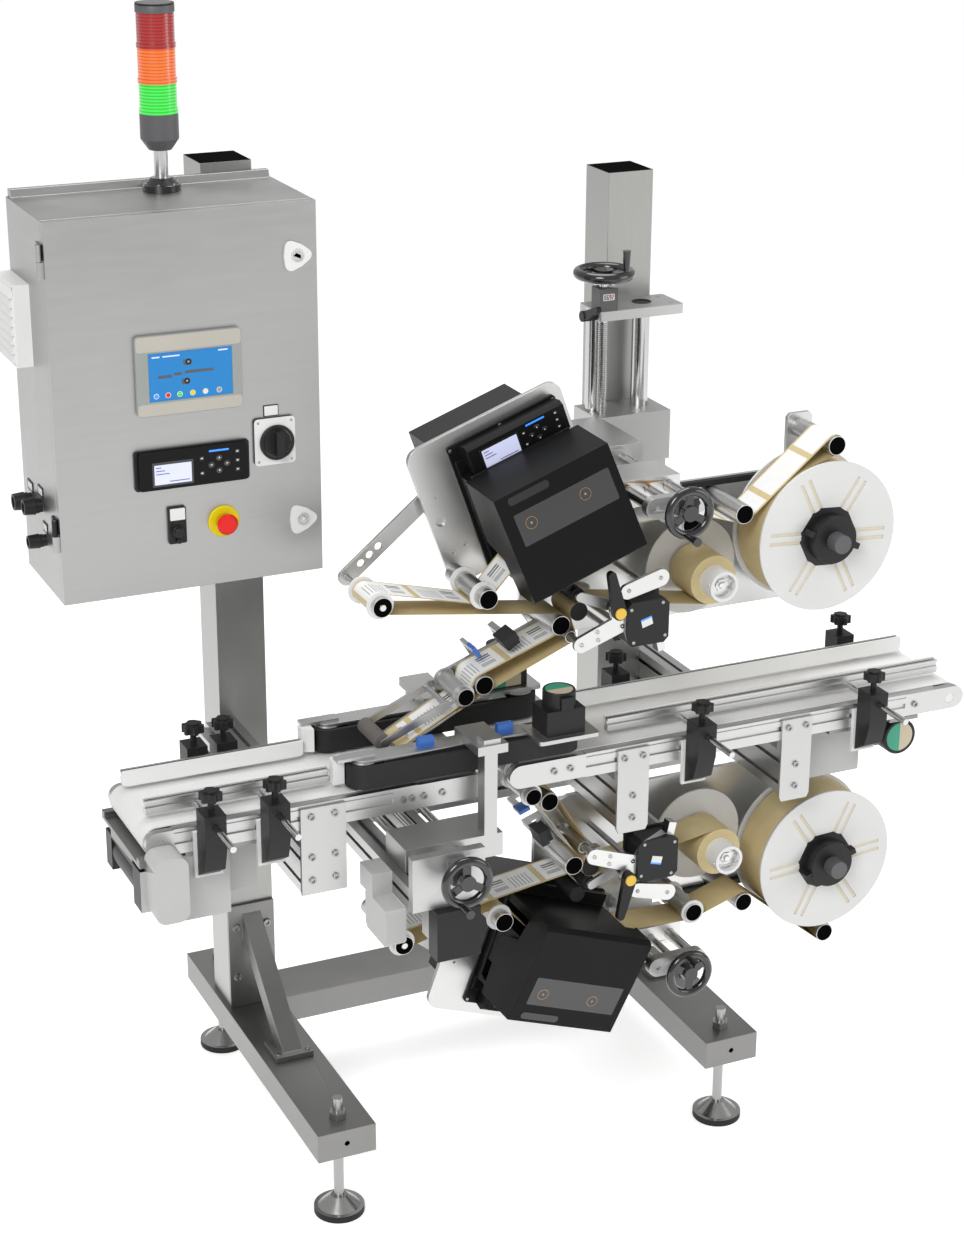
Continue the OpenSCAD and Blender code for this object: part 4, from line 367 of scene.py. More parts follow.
def finishMesh(mesh, rework):
    # merge doubles, rework the merged mesh, and keep edges crisp past an angle
    work = bmesh.new()
    work.from_mesh(mesh)
    bmesh.ops.remove_doubles(work, verts=work.verts, dist=meshing["weld"])
    rework(work)
    for face in work.faces:
        face.smooth = True
    for edge in work.edges:
        edge.smooth = len(edge.link_faces) != 2 or edge.calc_face_angle(0.0) < meshing["crisp"]
    work.to_mesh(mesh)
    work.free()


def faceOutwards(work):
    bmesh.ops.recalc_face_normals(work, faces=work.faces)


def joinFlat(work):
    # the loose triangles of a flat face become one face again, unless their finishes differ
    bmesh.ops.dissolve_limit(work, angle_limit=meshing["flat"], verts=work.verts, edges=work.edges,
                             delimit={"MATERIAL"})


def placed(name, mesh, bevel):
    # a new piece in the scene, with its edges rounded
    piece = bpy.data.objects.new(name, mesh)
    bpy.context.scene.collection.objects.link(piece)
    if bevel:
        addBevel(piece, bevel)
    return piece


def addBevel(piece, width):
    bevel = piece.modifiers.new("edge", "BEVEL")
    bevel.width = width / 1000.0
    bevel.segments = 2
    bevel.limit_method = "ANGLE"
    bevel.angle_limit = meshing["crisp"]
    bevel.use_clamp_overlap = False
    bevel.harden_normals = True
    bevel.miter_outer = "MITER_ARC"


def dress(node, finish, zones=(), bevel=0.5, back=stay):
    # a CAD node with its loose triangles merged, painted by where its faces lie and with its edges rounded
    source = frame["nodes"][node]
    mesh = source.data.copy()
    mesh.materials.clear()
    names = [finish] + [zone[0] for zone in zones]
    for name in names:
        mesh.materials.append(finishes[name])
    centres = np.empty(len(mesh.polygons) * 3)
    mesh.polygons.foreach_get("center", centres)
    spots = back(fromRow(centres.reshape(-1, 3)))
    index = np.zeros(len(mesh.polygons), np.int32)
    for number, (_, test) in enumerate(zones, start=1):
        index[test(spots)] = number
    mesh.polygons.foreach_set("material_index", index)
    finishMesh(mesh, joinFlat)
    piece = placed("dressed_" + node, mesh, bevel)
    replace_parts(piece, node)
    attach(piece, source["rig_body"])


class Kit:
    # gathers small shapes of one body into one piece; each shape keeps its own finish
    def __init__(self, name, body, slot, place=stay):
        self.name = name
        self.body = body
        self.place = place
        self.slot = slot
        self.points, self.faces, self.uv = [], [], []
        self.names, self.index = [], []
        self.count = 0

    def turn(self, profile, centre, axis, steps, finish):
        self.add(*turned(profile, centre, axis, steps), finish)

    def block(self, outline, low, high, finish, axis="y"):
        self.add(*prism(outline, low, high, axis), finish)

    def add(self, points, faces, finish, uv=None):
        if finish not in self.names:
            self.names.append(finish)
        points = np.asarray(points, float).reshape(-1, 3)
        self.points.append(self.place(points))
        self.faces += [tuple(int(i) + self.count for i in face) for face in faces]
        self.index += [self.names.index(finish)] * len(faces)
        self.uv.append(np.zeros((len(points), 2)) if uv is None else np.asarray(uv, float).reshape(-1, 2))
        self.count += len(points)

    def make(self, bevel=0.0, span=None):
        # span: when given, the piece keeps its place in the scene on no body, instead of riding on one; its
        # values are not used
        mesh = bpy.data.meshes.new(self.name)
        mesh.from_pydata(toRow(np.vstack(self.points)).tolist(), [], self.faces)
        for name in self.names:
            mesh.materials.append(finishes[name])
        mesh.polygons.foreach_set("material_index", np.array(self.index, np.int32))
        if any(u.any() for u in self.uv):
            layer = mesh.uv_layers.new(name="strip")
            loops = np.empty(len(mesh.loops), np.int32)
            mesh.loops.foreach_get("vertex_index", loops)
            layer.data.foreach_set("uv", np.vstack(self.uv)[loops].astype(np.float32).ravel())
        finishMesh(mesh, faceOutwards)
        piece = placed(self.name, mesh, bevel)
        if span:
            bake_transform(piece)
        else:
            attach(piece, self.body)
        return piece


def ringFaces(rows, columns):
    # quads between neighbouring rings of points, each ring closed
    i, j = np.meshgrid(np.arange(rows - 1), np.arange(columns), indexing="ij")
    k, m = i + 1, (j + 1) % columns
    return np.stack([i * columns + j, i * columns + m, k * columns + m, k * columns + j], -1).reshape(-1, 4)


def ordered(axis, along, p, q):
    # points from their distance along an axis and the two distances across it
    return np.stack({"x": (along, p, q), "y": (p, along, q), "z": (p, q, along)}[axis], -1)


def turned(profile, centre, axis, steps):
    # a profile of (along the axis, radius) carried once round the axis through the centre
    profile = np.asarray(profile, float)
    a = np.linspace(0, 2 * math.pi, steps, endpoint=False)
    along = np.repeat(profile[:, 0][:, None], steps, 1)
    p = profile[:, 1][:, None] * np.cos(a)
    q = profile[:, 1][:, None] * np.sin(a)
    return ordered(axis, along, p, q) + np.asarray(centre, float), ringFaces(len(profile), steps)


def prism(outline, low, high, axis="y"):
    # an outline given a thickness along an axis, with both ends closed
    outline = np.asarray(outline, float)
    n = len(outline)
    points = np.vstack([ordered(axis, np.full(n, end), outline[:, 0], outline[:, 1]) for end in (low, high)])
    sides = [(i, (i + 1) % n, n + (i + 1) % n, n + i) for i in range(n)]
    return points, sides + [tuple(range(n)), tuple(range(2 * n - 1, n - 1, -1))]


def roundedBox(low, high, radius, steps=5):
    # outline of a rectangle with round corners
    x0, z0 = low
    x1, z1 = high
    a = np.linspace(0, math.pi / 2, steps)
    quarters = [(x1 - radius, z1 - radius, a), (x0 + radius, z1 - radius, a + math.pi / 2),
                (x0 + radius, z0 + radius, a + math.pi), (x1 - radius, z0 + radius, a + 3 * math.pi / 2)]
    return np.vstack([arc((x, z), radius, t) for x, z, t in quarters])


def arc(centre, radius, angles):
    return np.stack([centre[0] + radius * np.cos(angles), centre[1] + radius * np.sin(angles)], -1)


def disc(centre, radius, steps=32):
    return arc(centre, radius, np.linspace(0, 2 * math.pi, steps, endpoint=False))


def carried(path, radius, steps):
    # a circle carried along a smooth path of points; its first axis stays square to one fixed direction
    p = np.asarray(path, float)
    t = np.gradient(p, axis=0)
    t /= np.linalg.norm(t, axis=1)[:, None]
    side = np.cross(t, (0.0, 0.3, 1.0))
    side /= np.linalg.norm(side, axis=1)[:, None]
    lift = np.cross(side, t)
    a = np.linspace(0, 2 * math.pi, steps, endpoint=False)
    ring = side[:, None] * np.cos(a)[None, :, None] + lift[:, None] * np.sin(a)[None, :, None]
    points = p[:, None] + ring * radius
    rows = len(p)
    ends = [tuple(range(steps - 1, -1, -1)), tuple(range((rows - 1) * steps, rows * steps))]
    return points, [tuple(f) for f in ringFaces(rows, steps)] + ends


def smoothPath(points, count):
    # Catmull-Rom curve through given points
    p = np.asarray(points, float)
    p = np.vstack([2 * p[0] - p[1], p, 2 * p[-1] - p[-2]])
    spans = len(p) - 3
    t = np.linspace(0, spans - 1e-6, count)
    i = t.astype(int)
    f = (t - i)[:, None]
    a, b, c, d = p[i], p[i + 1], p[i + 2], p[i + 3]
    bend = (2 * a - 5 * b + 4 * c - d) * f ** 2
    return 0.5 * (2 * b + (c - a) * f + bend + (3 * b - a - 3 * c + d) * f ** 3)


# Camera from the photograph's viewpoint
camera = {"place": (-1.925, -4.1328, 2.8562), "lens": 72.245, "sensor": 36.0, "reach": 50.0,
          "right": (0.91017, -0.41420, 0.00464), "up": (0.14517, 0.32946, 0.93294),
          "back": (-0.38796, -0.84846, 0.36000)}
view = bpy.data.cameras.new("camera")
view.lens = camera["lens"]
view.sensor_width = camera["sensor"]
view.clip_end = camera["reach"]
viewer = bpy.data.objects.new("camera", view)
viewer.matrix_world = Matrix.Translation(camera["place"]) @ Matrix(
    (camera["right"], camera["up"], camera["back"])).transposed().to_4x4()
bpy.context.scene.collection.objects.link(viewer)
bpy.context.scene.camera = viewer

# A zone is a finish and the place of the faces that take it, in machine millimetres. The later zone wins.
dress("base_frame", "frame", bevel=1.2)
dress("levelling_feet", "footSteel", [("rubber", wall(z=(-1, 10.5)))])
dress("columns", "column", [("capBlack", either(wall(x=(-90, 400), z=(1975.05, 2000)),
                                                wall(x=(400, 950), z=(1893.05, 1920))))], bevel=1.0)
dress("column_braces", "frame", [("screw", either(wall(y=(470, 481.9), z=(260, 420)), wall(z=(222.1, 230))))],
      bevel=0.8)
dress("cross_rails", "railY", [("railX", wall(y=(276.5, 320.5), x=(-17, 541)))], bevel=0.3)
dress("hanger_plates", "plate", [("screw", wall(y=(-130, -121.1)))])
dress("conveyor_frames", "railX", [("screw", wall(y=(-130, -115.1)))], bevel=0)
dress("conveyor_belts", "belt", bevel=0)
for node in ("infeed_drum", "outfeed_drum"):
    dress(node, "chrome")
dress("conveyor_gearmotors", "paleGuard", [
    ("black", wall(x=(-404.5, -324.1), y=(-114.9, 96), z=(790, 875.1))),
    ("frame", wall(x=(-404.5, -324.1), z=(875.1, 900))),
    ("frame", wall(z=(889.05, 900))),
    ("black", wall(x=(1128.1, 1219), z=(800, 889))),
    ("black", wall(x=(96.9, 184), y=(-266, -225.1), z=(650, 760)))])
dress("guide_brackets", "black", [("white", wall(z=(846, 937.5), y=(-123.1, -114.9))),
                                  ("white", wall(z=(846, 937.5), y=(114.9, 123.1)))], bevel=0.8)
for end in ("infeed", "outfeed"):
    for guide, strip, rods in (("_front_guide", (-54.1, -40), (-300, -68.1)),
                               ("_back_guide", (50, 70.1), (84.1, 300))):
        dress(end + guide, "railX", [("white", wall(y=strip)), ("chrome", wall(y=rods))])
dress("centring_frame", "plate", [
    ("chrome", wall(y=(-224.9, 234.9), z=(812, 838))), ("grey", wall(y=(-270, -245.1)))])
dress("centring_handwheel", "gloss", [("chrome", wall(y=(-283, 260)))])
for node in ("front_side_belt", "back_side_belt"):
    dress(node, "plate", [
        ("rubber", wall(z=(953.9, 998.1))),
        ("black", wall(x=(366, 446), z=(1007.1, 1043))), ("black", wall(x=(366, 446), z=(1046.1, 1100))),
        ("bright", wall(x=(366, 446), z=(1043, 1046.1))),
        ("white", wall(x=(-40, -6), z=(957.9, 1005.1))),
        ("blue", either(wall(x=(135, 169), z=(1005.1, 1024)), wall(x=(294, 328), z=(1005.1, 1024)))),
        *[("bronze", near("y", (x, 825), 12.6, y=(-171, 201))) for x in (99, 143, 190)]])
print("frame and conveyor dressed")

# Cabinet, its door and the lift
dress("cabinet_body", "sheet", [
    ("white", wall(x=(-460, -417.1), z=(1650, 1850))), ("black", wall(x=(-460, -417.1), z=(1320, 1430))),
    ("black", wall(z=(1200, 1250.9)))], bevel=1.0)
dress("cabinet_door", "sheet")
dress("door_fittings", "black", [
    ("bezel", wall(x=(-267, -67), z=(1587, 1736))),
    ("screenBlue", wall(x=(-243.1, -85.9), y=(235.4, 236.6), z=(1613, 1704))),
    ("screenPale", wall(x=(-243.1, -169.9), y=(230, 238), z=(1457, 1491))),
    ("yellow", near("y", (-110, 1372), 31)), ("white", wall(x=(-216, -184), y=(237.9, 243), z=(1344, 1411))),
    ("white", wall(x=(30, 70), z=(1330, 1380))), ("white", wall(x=(30, 70), z=(1830, 1880)))])
dress("main_switch_knob", "black", bevel=1.0)
dress("estop_button", "red", [("black", wall(y=(229.1, 300)))])
for node in ("door_lock_upper", "door_lock_lower"):
    dress(node, "chrome")
stackLight = {"at": (-142, 435), "levels": [
    ("gloss", (1950, 1975)), ("chrome", (1975, 2025.1)), ("grey", (2025.1, 2091)),
    ("lensGreen", (2091, 2145)), ("lensOrange", (2145, 2207)), ("lensRed", (2207, 2269))]}
dress("stack_light", "black", [(name, wall(z=span)) for name, span in stackLight["levels"]])
shaftSpots = [(756, 452), (858, 447)]
dress("lift_frame", "plate", [
    *[("chrome", near("z", spot, 18.3, z=(1040.1, 1623.9))) for spot in shaftSpots],
    ("grey", wall(z=(1644.1, 1692), x=(739, 781), y=(399, 440))),
    ("chrome", wall(x=(770, 790), z=(1667, 1693)))])
dress("lift_handwheel", "gloss", [("chrome", wall(z=(1000, 1708)))])
dress("lift_carriage", "plate", [("bronze", near("z", c, 22.05, z=(1300, 1431))) for c in shaftSpots])
dress("lift_clamp_lever", "black")
print("cabinet and lift dressed")

# Rollers and the three turns of each peeling head: x, z, radius, in the upper unit's place
rollers = {"reel": (1008, 1281, 142.5), "top": (1025, 1457.5, 19), "mid": (828, 1346, 19),
           "near": (711, 1343, 19), "exit": (284.5, 1264, 19), "dancer": (82, 1275, 19),
           "turn": (440.5, 1183, 19), "drive": (483, 1200, 18), "idler": (466, 1153, 12),
           "rewind": (767, 1222, 48.5), "nip": (480.1, 1232.9, 14), "motor": (600, 1180, 75)}
heads = {"upper": ((287, 1087, 18.5), (246, 1073, 17), (122, 985, 2.5)),
         "lower": ((388, 1039, 18.5), (350, 1018.5, 17), (241, 926, 2.5))}


def around(name, radius, **limits):
    return near("y", rollers[name][:2], radius, **limits)


def overStrand(side, along, above, y):
    # a test in the frame of the label strand between the head's large roller and the turning roller
    start, end = np.array(heads[side][0][:2]), np.array(rollers["turn"][:2])
    run = (end - start) / np.linalg.norm(end - start)
    middle = (start + end) / 2

    def test(points):
        u = (points[:, 0] - middle[0]) * run[0] + (points[:, 2] - middle[1]) * run[1]
        w = (points[:, 2] - middle[1]) * run[0] - (points[:, 0] - middle[0]) * run[1]
        return ((u > along[0]) & (u < along[1]) & (w > above[0]) & (w < above[1])
                & (points[:, 1] > y[0]) & (points[:, 1] < y[1]))
    return test


crossShafts = {"x": (598.8, 686.3), "screw": 642.55, "z": 1409}
for side, back in (("upper", stay), ("lower", raised)):
    height = crossShafts["z"]
    dress(side + "_cross_shafts", "plate", [
        *[("chrome", near("y", (x, height), 11.2, y=(-94.9, 182.9))) for x in crossShafts["x"]],
        ("grey", wall(y=(-140, -115.1)))], back=back)
    dress(side + "_cross_handwheel", "gloss", [("chrome", wall(y=(-151, 260)))], back=back)
    dress(side + "_head_plate", "bright", [
        ("black", wall(y=(105.2, 241), x=(150, 585), z=(1180, 1640))),
        ("rubber", wall(x=(762, 998), y=(80, 94.9), z=(1364, 1378))),
        *[("bronze", near("y", (x, height), 15.4)) for x in (*crossShafts["x"], crossShafts["screw"])]],
        bevel=0.8, back=back)
    for node in ("_print_engine", "_engine_cover"):
        dress(side + node, "engine", bevel=0.8, back=back)
    dress(side + "_dancer_arm", "plate", [("chrome", wall(y=(-70, 114.9)))], back=back)
    caps = ("white", either(wall(y=(-46.1, -41.9)), wall(y=(41.9, 46.1))))
    dress(side + "_dancer_roller", "rollerAlu", [caps], back=back)
    dress(side + "_drive_roller", "rubber", [("chrome", wall(y=(40.1, 100)))], back=back)
    dress(side + "_nip_lever", "black", [
        ("rubber", around("nip", 14.2, y=(-40.1, 40.1))),
        ("plate", wall(y=(-60, -43.9))), ("plate", wall(y=(43.9, 60))),
        ("amberCap", wall(y=(-108, -104.02))), ("chrome", wall(y=(52.1, 100)))], back=back)
    dress(side + "_guide_rollers", "rollerAlu", [caps, ("rubber", near("y", (459, 1258), 17))], back=back)
    dress(side + "_applicator", "plate", [
        ("black", around("motor", 75, y=(-97, -39.9))),
        ("sponge", near("y", (88, 1004), 15.2, y=(-36.1, 52.1))),
        ("rollerAlu", around("idler", 12.2, y=(-41, 47))),
        ("bright", wall(y=(-89, -79.9), x=(440, 680))),
        ("black", overStrand(side, (-16.1, 16.1), (23.9, 40.1), (-34.1, 12.1))),
        ("rubber", overStrand(side, (-14.1, 14.1), (13.9, 24), (-30.1, 8.1))),
        ("blue", overStrand(side, (-66.1, -57.9), (29.9, 54.1), (-10.1, 20.1)))], back=back)
    dress(side + "_reel", "flange", [
        ("kraft", wall(y=(-40.5, 40.5))), ("black", around("reel", 62, y=(-86, -53.05))),
        ("grey", around("reel", 18.8)), ("rollSide", wall(y=(-53, -39.5)))], back=back)
    dress(side + "_rewind", "kraft", [
        ("flange", wall(y=(47.9, 52.1))), ("white", around("rewind", 30.4, y=(-86, 47.9))),
        ("chrome", around("rewind", 24.05, y=(-72, 47)))], back=back)
print("label units dressed")

# The label web, worked out again from its rollers, in millimetres
web = {"touch": 0.55, "half": 40, "labelHalf": 37, "labelLift": -0.25, "thick": 0.12, "lastLabel": 1150,
       "firstBlank": 100, "end": 1e9}


def webHeading(a, b):
    # direction of the straight web between two wraps
    dx, dz = b[0] - a[0], b[1] - a[1]
    return math.atan2(dz, dx) - math.asin((b[3] * b[2] - a[3] * a[2]) / math.hypot(dx, dz))


def webLine(path, lift=0.0):
    # points and headings of the web along its straight runs and wraps; lift moves the line to its left
    head = [webHeading(a, b) for a, b in zip(path, path[1:])]
    rows = []
    full = 2 * math.pi
    for i, (x, z, r, side) in enumerate(path):
        start = head[max(0, i - 1)]
        end = head[min(i, len(head) - 1)]
        swing = (end - start) % full if side > 0 else -((start - end) % full)
        # a wrap of nearly a whole turn is a straight run that rounding bent the other way
        if abs(swing) > math.radians(340):
            swing = 0.0
        steps = max(1, int(abs(swing) / math.radians(6)))
        h = start + swing * np.linspace(0, 1, steps + 1)
        rows.append(np.stack([x + (side * r - lift) * np.sin(h), z - (side * r - lift) * np.cos(h), h], -1))
    line = np.vstack(rows)
    dense = [line[:1]]
    for a, b in zip(line, line[1:]):
        n = max(1, int(math.hypot(b[0] - a[0], b[1] - a[1]) / 25))
        dense.append(a + (b - a) * (np.arange(1, n + 1) / n)[:, None])
    return np.vstack(dense)


def on(spot, side):
    # a wrap of the web round a roller: side is 1 where it turns left and -1 where it turns right
    return (spot[0], spot[1], spot[2] + web["touch"], side)


def engineSpot(u, v):
    # where the web goes into or out of the printing engine
    p = tilted((u, 0, v))
    return (p[0], p[2], 0.0, 1)


def webLength(line):
    return np.concatenate([[0], np.cumsum(np.hypot(np.diff(line[:, 0]), np.diff(line[:, 1])))])


def webStrip(kit, path, finish, half, lift, trim=(0.0, web["end"]), start=0.0):
    # a thin closed ribbon to both sides of the web line, with millimetres along and across it as its UV
    line = webLine(path, lift)
    length = webLength(line)
    keep = (length >= trim[0]) & (length <= trim[1])
    line, length = line[keep], length[keep] + start
    n = np.stack([-np.sin(line[:, 2]), np.cos(line[:, 2])], -1) * web["thick"]
    ring = []
    uv = []
    for y, s in ((-half, -1), (half, -1), (half, 1), (-half, 1)):
        ring.append(np.stack([line[:, 0] + s * n[:, 0], np.full(len(line), y), line[:, 1] + s * n[:, 1]], -1))
        uv.append(np.stack([length, np.full(len(line), y + web["half"])], -1))
    points = np.stack(ring, 1).reshape(-1, 3)
    faces = [tuple(f) for f in ringFaces(len(line), 4)]
    faces += [(0, 1, 2, 3), tuple(len(points) - 4 + k for k in (3, 2, 1, 0))]
    kit.add(points, faces, finish, np.stack(uv, 1).reshape(-1, 2))


def dancerCuts(path, lift):
    # lengths at which the web leaves the unit for the dancer roller and comes back
    line = webLine(path, lift)
    first = int(np.argmax(line[:, 0] < dancer["far"]))
    last = first + int(np.argmax(line[first:, 0] > dancer["far"]))
    return tuple(webLength(line)[[first, last]])


# x limits of the strands to the dancer roller, and a margin
dancer = {"near": 120, "far": 262, "margin": 2}
for side, place in (("upper", stay), ("lower", lowered)):
    big, small, tip = heads[side]
    kraftPath = [engineSpot(97, 42), on(rollers["exit"], -1), on(rollers["dancer"], 1),
                 on(rollers["turn"], -1), on(big, 1), on(small, -1), on(tip, 1), on(big, 1),
                 on(rollers["idler"], 1), on(rollers["drive"], -1), on(rollers["rewind"], 1)]
    labelPath = kraftPath[:7]
    supply = [on(rollers["reel"], -1), on(rollers["top"], 1), on(rollers["mid"], -1), on(rollers["near"], 1),
              engineSpot(302, 12)]
    unit = side + "_unit"
    kraftLook = ("kraft", web["half"], 0)
    kraftCuts = dancerCuts(kraftPath, 0)
    kit = Kit(side + "_web_strips", unit, "kraft", place)
    webStrip(kit, kraftPath, *kraftLook, (0, kraftCuts[0]))
    webStrip(kit, kraftPath, *kraftLook, (kraftCuts[1], web["end"]))
    webStrip(kit, supply, *kraftLook)
    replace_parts(kit.make(), side + "_label_web")
    labelSize = (web["labelHalf"], web["labelLift"])
    labelCuts = dancerCuts(labelPath, web["labelLift"])
    kit = Kit(side + "_web_labels", unit, "label_roll", place)
    webStrip(kit, labelPath, "labels", *labelSize, (0, labelCuts[0]))
    webStrip(kit, labelPath, "labels", *labelSize, (labelCuts[1], web["lastLabel"]))
    webStrip(kit, supply, "blankLabels", *labelSize, (web["firstBlank"], web["end"]), web["labelHalf"])
    kit.make()
    # the two strands to the dancer roller, as pieces of their own on no body
    level = rollers["dancer"][1]
    ends = [tuple(toRow(place((x, 0, level)))) for x in (dancer["near"], dancer["far"] - dancer["margin"])]
    strands = (("strip", "kraft", kraftPath, kraftLook, kraftCuts),
               ("labels", "label_roll", labelPath, ("labels", *labelSize), labelCuts))
    for name, slot, path, look, cuts in strands:
        kit = Kit(side + "_dancer_" + name, unit, slot, place)
        webStrip(kit, path, *look, cuts)
        kit.make(span=(side + "_dancer_arm", unit, *ends))
print("web strips made")

# Small parts that stand on the solids
segments = {"0": "abcdef", "2": "abged", "6": "afgedc", "9": "abcdfg"}
segmentBars = {"a": (0, 1, 1, 1), "b": (1, 0.5, 1, 1), "c": (1, 0, 1, 0.5), "d": (0, 0, 1, 0),
               "e": (0, 0, 0, 0.5), "f": (0, 0.5, 0, 1), "g": (0, 0.5, 1, 0.5)}


def counter(kit, digits, x, z, y, width, height):
    # window of a position counter: pale plate with seven-bar digits, the last one red
    kit.block(roundedBox((x, z), (x + width, z + height), 1.2), y - 0.4, y + 0.2, "white")
    step = width / (len(digits) + 0.4)
    thick = height * 0.05
    tall = height * 0.62
    wide = step * 0.5
    base = z + height * 0.19
    for place, digit in enumerate(digits):
        left = x + step * (place + 0.45)
        ink = "red" if place == len(digits) - 1 else "black"
        for bar in segments[digit]:
            x0, z0, x1, z1 = segmentBars[bar]
            low = (left + x0 * wide - thick, base + z0 * tall - thick)
            high = (left + x1 * wide + thick, base + z1 * tall + thick)
            kit.block([low, (high[0], low[1]), high, (low[0], high[1])], y - 0.7, y - 0.3, ink)


def plate(kit, low, high, front, rear, finish, radius=1.0):
    kit.block(roundedBox(low, high, radius, 4), front, rear, finish)


def button(kit, x, z, y, radius, finish, height=1.2):
    # round key with a soft edge, standing out towards the front
    kit.turn([(y + 0.2, 0.01), (y + 0.2, radius), (y - height * 0.6, radius), (y - height, radius * 0.82),
              (y - height, 0.01)], (x, 0, z), "y", 24, finish)


def keyPad(kit, x, z, y, size):
    # four arrow keys round a centre, each a triangle on a round key
    for turn in range(4):
        a = turn * math.pi / 2
        cx, cz = x + size * 1.25 * math.cos(a), z + size * math.sin(a)
        button(kit, cx, cz, y, size * 0.5, "gloss", 0.9)
        tri = [(cx + size * 0.2 * math.cos(a + k), cz + size * 0.2 * math.sin(a + k)) for k in (0, 2.2, -2.2)]
        kit.block(tri, y - 1.1, y - 0.8, "white")


def controlPanel(kit, panel):
    # on one face: rim, dark window with its display and bars, light bar, arrow keys and oblong keys
    face = panel["face"]
    low, high, deep, radius = panel["rim"]
    plate(kit, low, high, face, face + deep, "engine", radius)
    low, high, deep = panel["window"]
    plate(kit, low, high, face - 0.8, face + deep, "gloss", 2)
    plate(kit, *panel["display"], face - 1.2, face - 0.4, "screenPale", 1)
    for x0, x1, z in panel["ink"]:
        plate(kit, (x0, z), (x1, z + 1.8), face - 1.4, face - 1.0, "lcdInk", 0.4)
    low, high, proud, deep, radius = panel["light"]
    plate(kit, low, high, face - proud, face + deep, "ledBlue", radius)
    x, z, size = panel["arrows"]
    keyPad(kit, x, z, face, size)
    for x, z in panel["keys"]:
        plate(kit, (x - 4, z - 3.5), (x + 4, z + 3.5), face - 0.8, face + 0.2, "gloss", 1.5)
        plate(kit, (x - 2, z - 1.2), (x + 2, z + 1.2), face - panel["mark"], face - 0.6, "white", 0.4)


door = {"screen": 235.35, "bezel": 234.0, "skin": 243.1, "dials": ((-168, 1682), (-172, 1647)),
        "icons": (("ledBlue", -230), ("red", -208), ("lensGreen", -186), ("yellow", -162), ("white", -138),
                  ("bezel", -112)), "iconLevel": 1624, "switch": (-5, 0, 1512), "stop": (-110, 0, 1372),
        "socket": (-200, 0, 1366), "plug": (-200, 0, 1349), "lockX": 45.0, "lockLevels": (1356.0, 1854.0)}
doorPanel = {"face": 229.0, "rim": ((-270, 1451), (-64, 1522), 9.5, 6),
             "window": ((-246, 1457), (-168, 1503), 0.2), "display": ((-242, 1461), (-172, 1498)),
             "ink": ((-239, -229, 1492), (-239, -222, 1486), (-239, -214, 1480), (-214, -176, 1465)),
             "light": ((-138, 1511), (-100, 1514.5), 0.5, 0.2, 1.4), "arrows": (-119, 1487, 12),
             "keys": ((-152, 1501), (-152, 1473), (-84, 1507), (-84, 1490), (-84, 1473)), "mark": 1.0}
kit = Kit("door_details", "door", "black_plastic")
# Screen: frame strips, blue field, bars, two dials and a row of round keys
face = door["screen"]
for low, high in ((1706, 1734), (1589, 1611)):
    plate(kit, (-265, low), (-69, high), door["bezel"] - 0.6, door["bezel"] + 0.2, "beige", 6)
plate(kit, (-228, 1616), (-86.2, 1701.5), face, face + 0.35, "screenBlue", 0.6)
for x0, x1, z in ((-236, -221, 1694), (-216, -184, 1694), (-112, -94, 1696)):
    plate(kit, (x0, z), (x1, z + 2.6), face - 0.2, face, "screenPale", 0.8)
for x0, z0, x1, z1 in ((-226, 1656, -199, 1661), (-196, 1659, -180, 1664), (-176, 1661, -122, 1666)):
    plate(kit, (x0, z0), (x1, z1), face - 0.3, face, "grey", 2.4)
for x, z in door["dials"]:
    kit.block(roundedBox((x - 10, z - 6), (x + 6, z + 5), 4), face - 0.3, face, "grey")
    kit.block(disc((x, z), 5.5), face - 0.6, face, "black")
    kit.block(disc((x, z), 2.2), face - 0.8, face, "bezel")
for finish, x in door["icons"]:
    kit.block(disc((x, door["iconLevel"]), 5.2), face - 0.25, face, "white")
    kit.block(disc((x, door["iconLevel"]), 4.1), face - 0.5, face, finish)
controlPanel(kit, doorPanel)
# Main switch: white plate, a bare label above it and its screws
plate(kit, (-47.5, 1469.5), (31.5, 1558.5), 236.4, 237.2, "white", 7)
plate(kit, (-27, 1561), (2, 1582), 241.4, door["skin"], "black", 1)
plate(kit, (-25.5, 1562.5), (0.5, 1580.5), 241.0, 241.6, "white", 0.6)
kit.turn([(237, 21), (237, 33), (231.6, 33), (230.6, 31.5), (230.6, 27)], door["switch"], "y", 56, "black")
for x in (-40, 24):
    for z in (1477, 1551):
        button(kit, x, z, 236.6, 2.6, "screw", 0.8)
# Data socket: black plate, bare label and capped plug
plate(kit, (-217, 1342), (-183, 1412), 236.6, door["skin"], "black", 3)
plate(kit, (-214, 1388), (-186, 1410), 233.2, 237.0, "white", 1)
kit.turn([(237, 12), (230, 12), (229, 10.5), (222, 10), (221, 8.5), (221, 0.01)], door["socket"], "y", 40,
         "black")
kit.turn([(237, 5), (228, 5), (227, 4), (227, 0.01)], door["plug"], "y", 24, "black")
# Collar of the stop button
kit.turn([(243, 29.5), (239.4, 29.5), (238.6, 28.4), (238.6, 16)], door["stop"], "y", 64, "yellow")
# Lock plates: the radius swells three times round the circle, once towards the door's free edge
angles = np.linspace(0, 2 * math.pi, 60, endpoint=False)
swell = 25.5 + 3.6 * np.cos(3 * angles) + 0.9 * np.cos(6 * angles)
for z in door["lockLevels"]:
    kit.block(arc((door["lockX"] - 3, z), swell, angles), 238.35, door["skin"], "white")
    kit.turn([(238.6, 13), (237.4, 12.5), (237.2, 11), (237.6, 9.4)], (door["lockX"], 0, z), "y", 40,
             "bright")
kit.make(bevel=0.25)

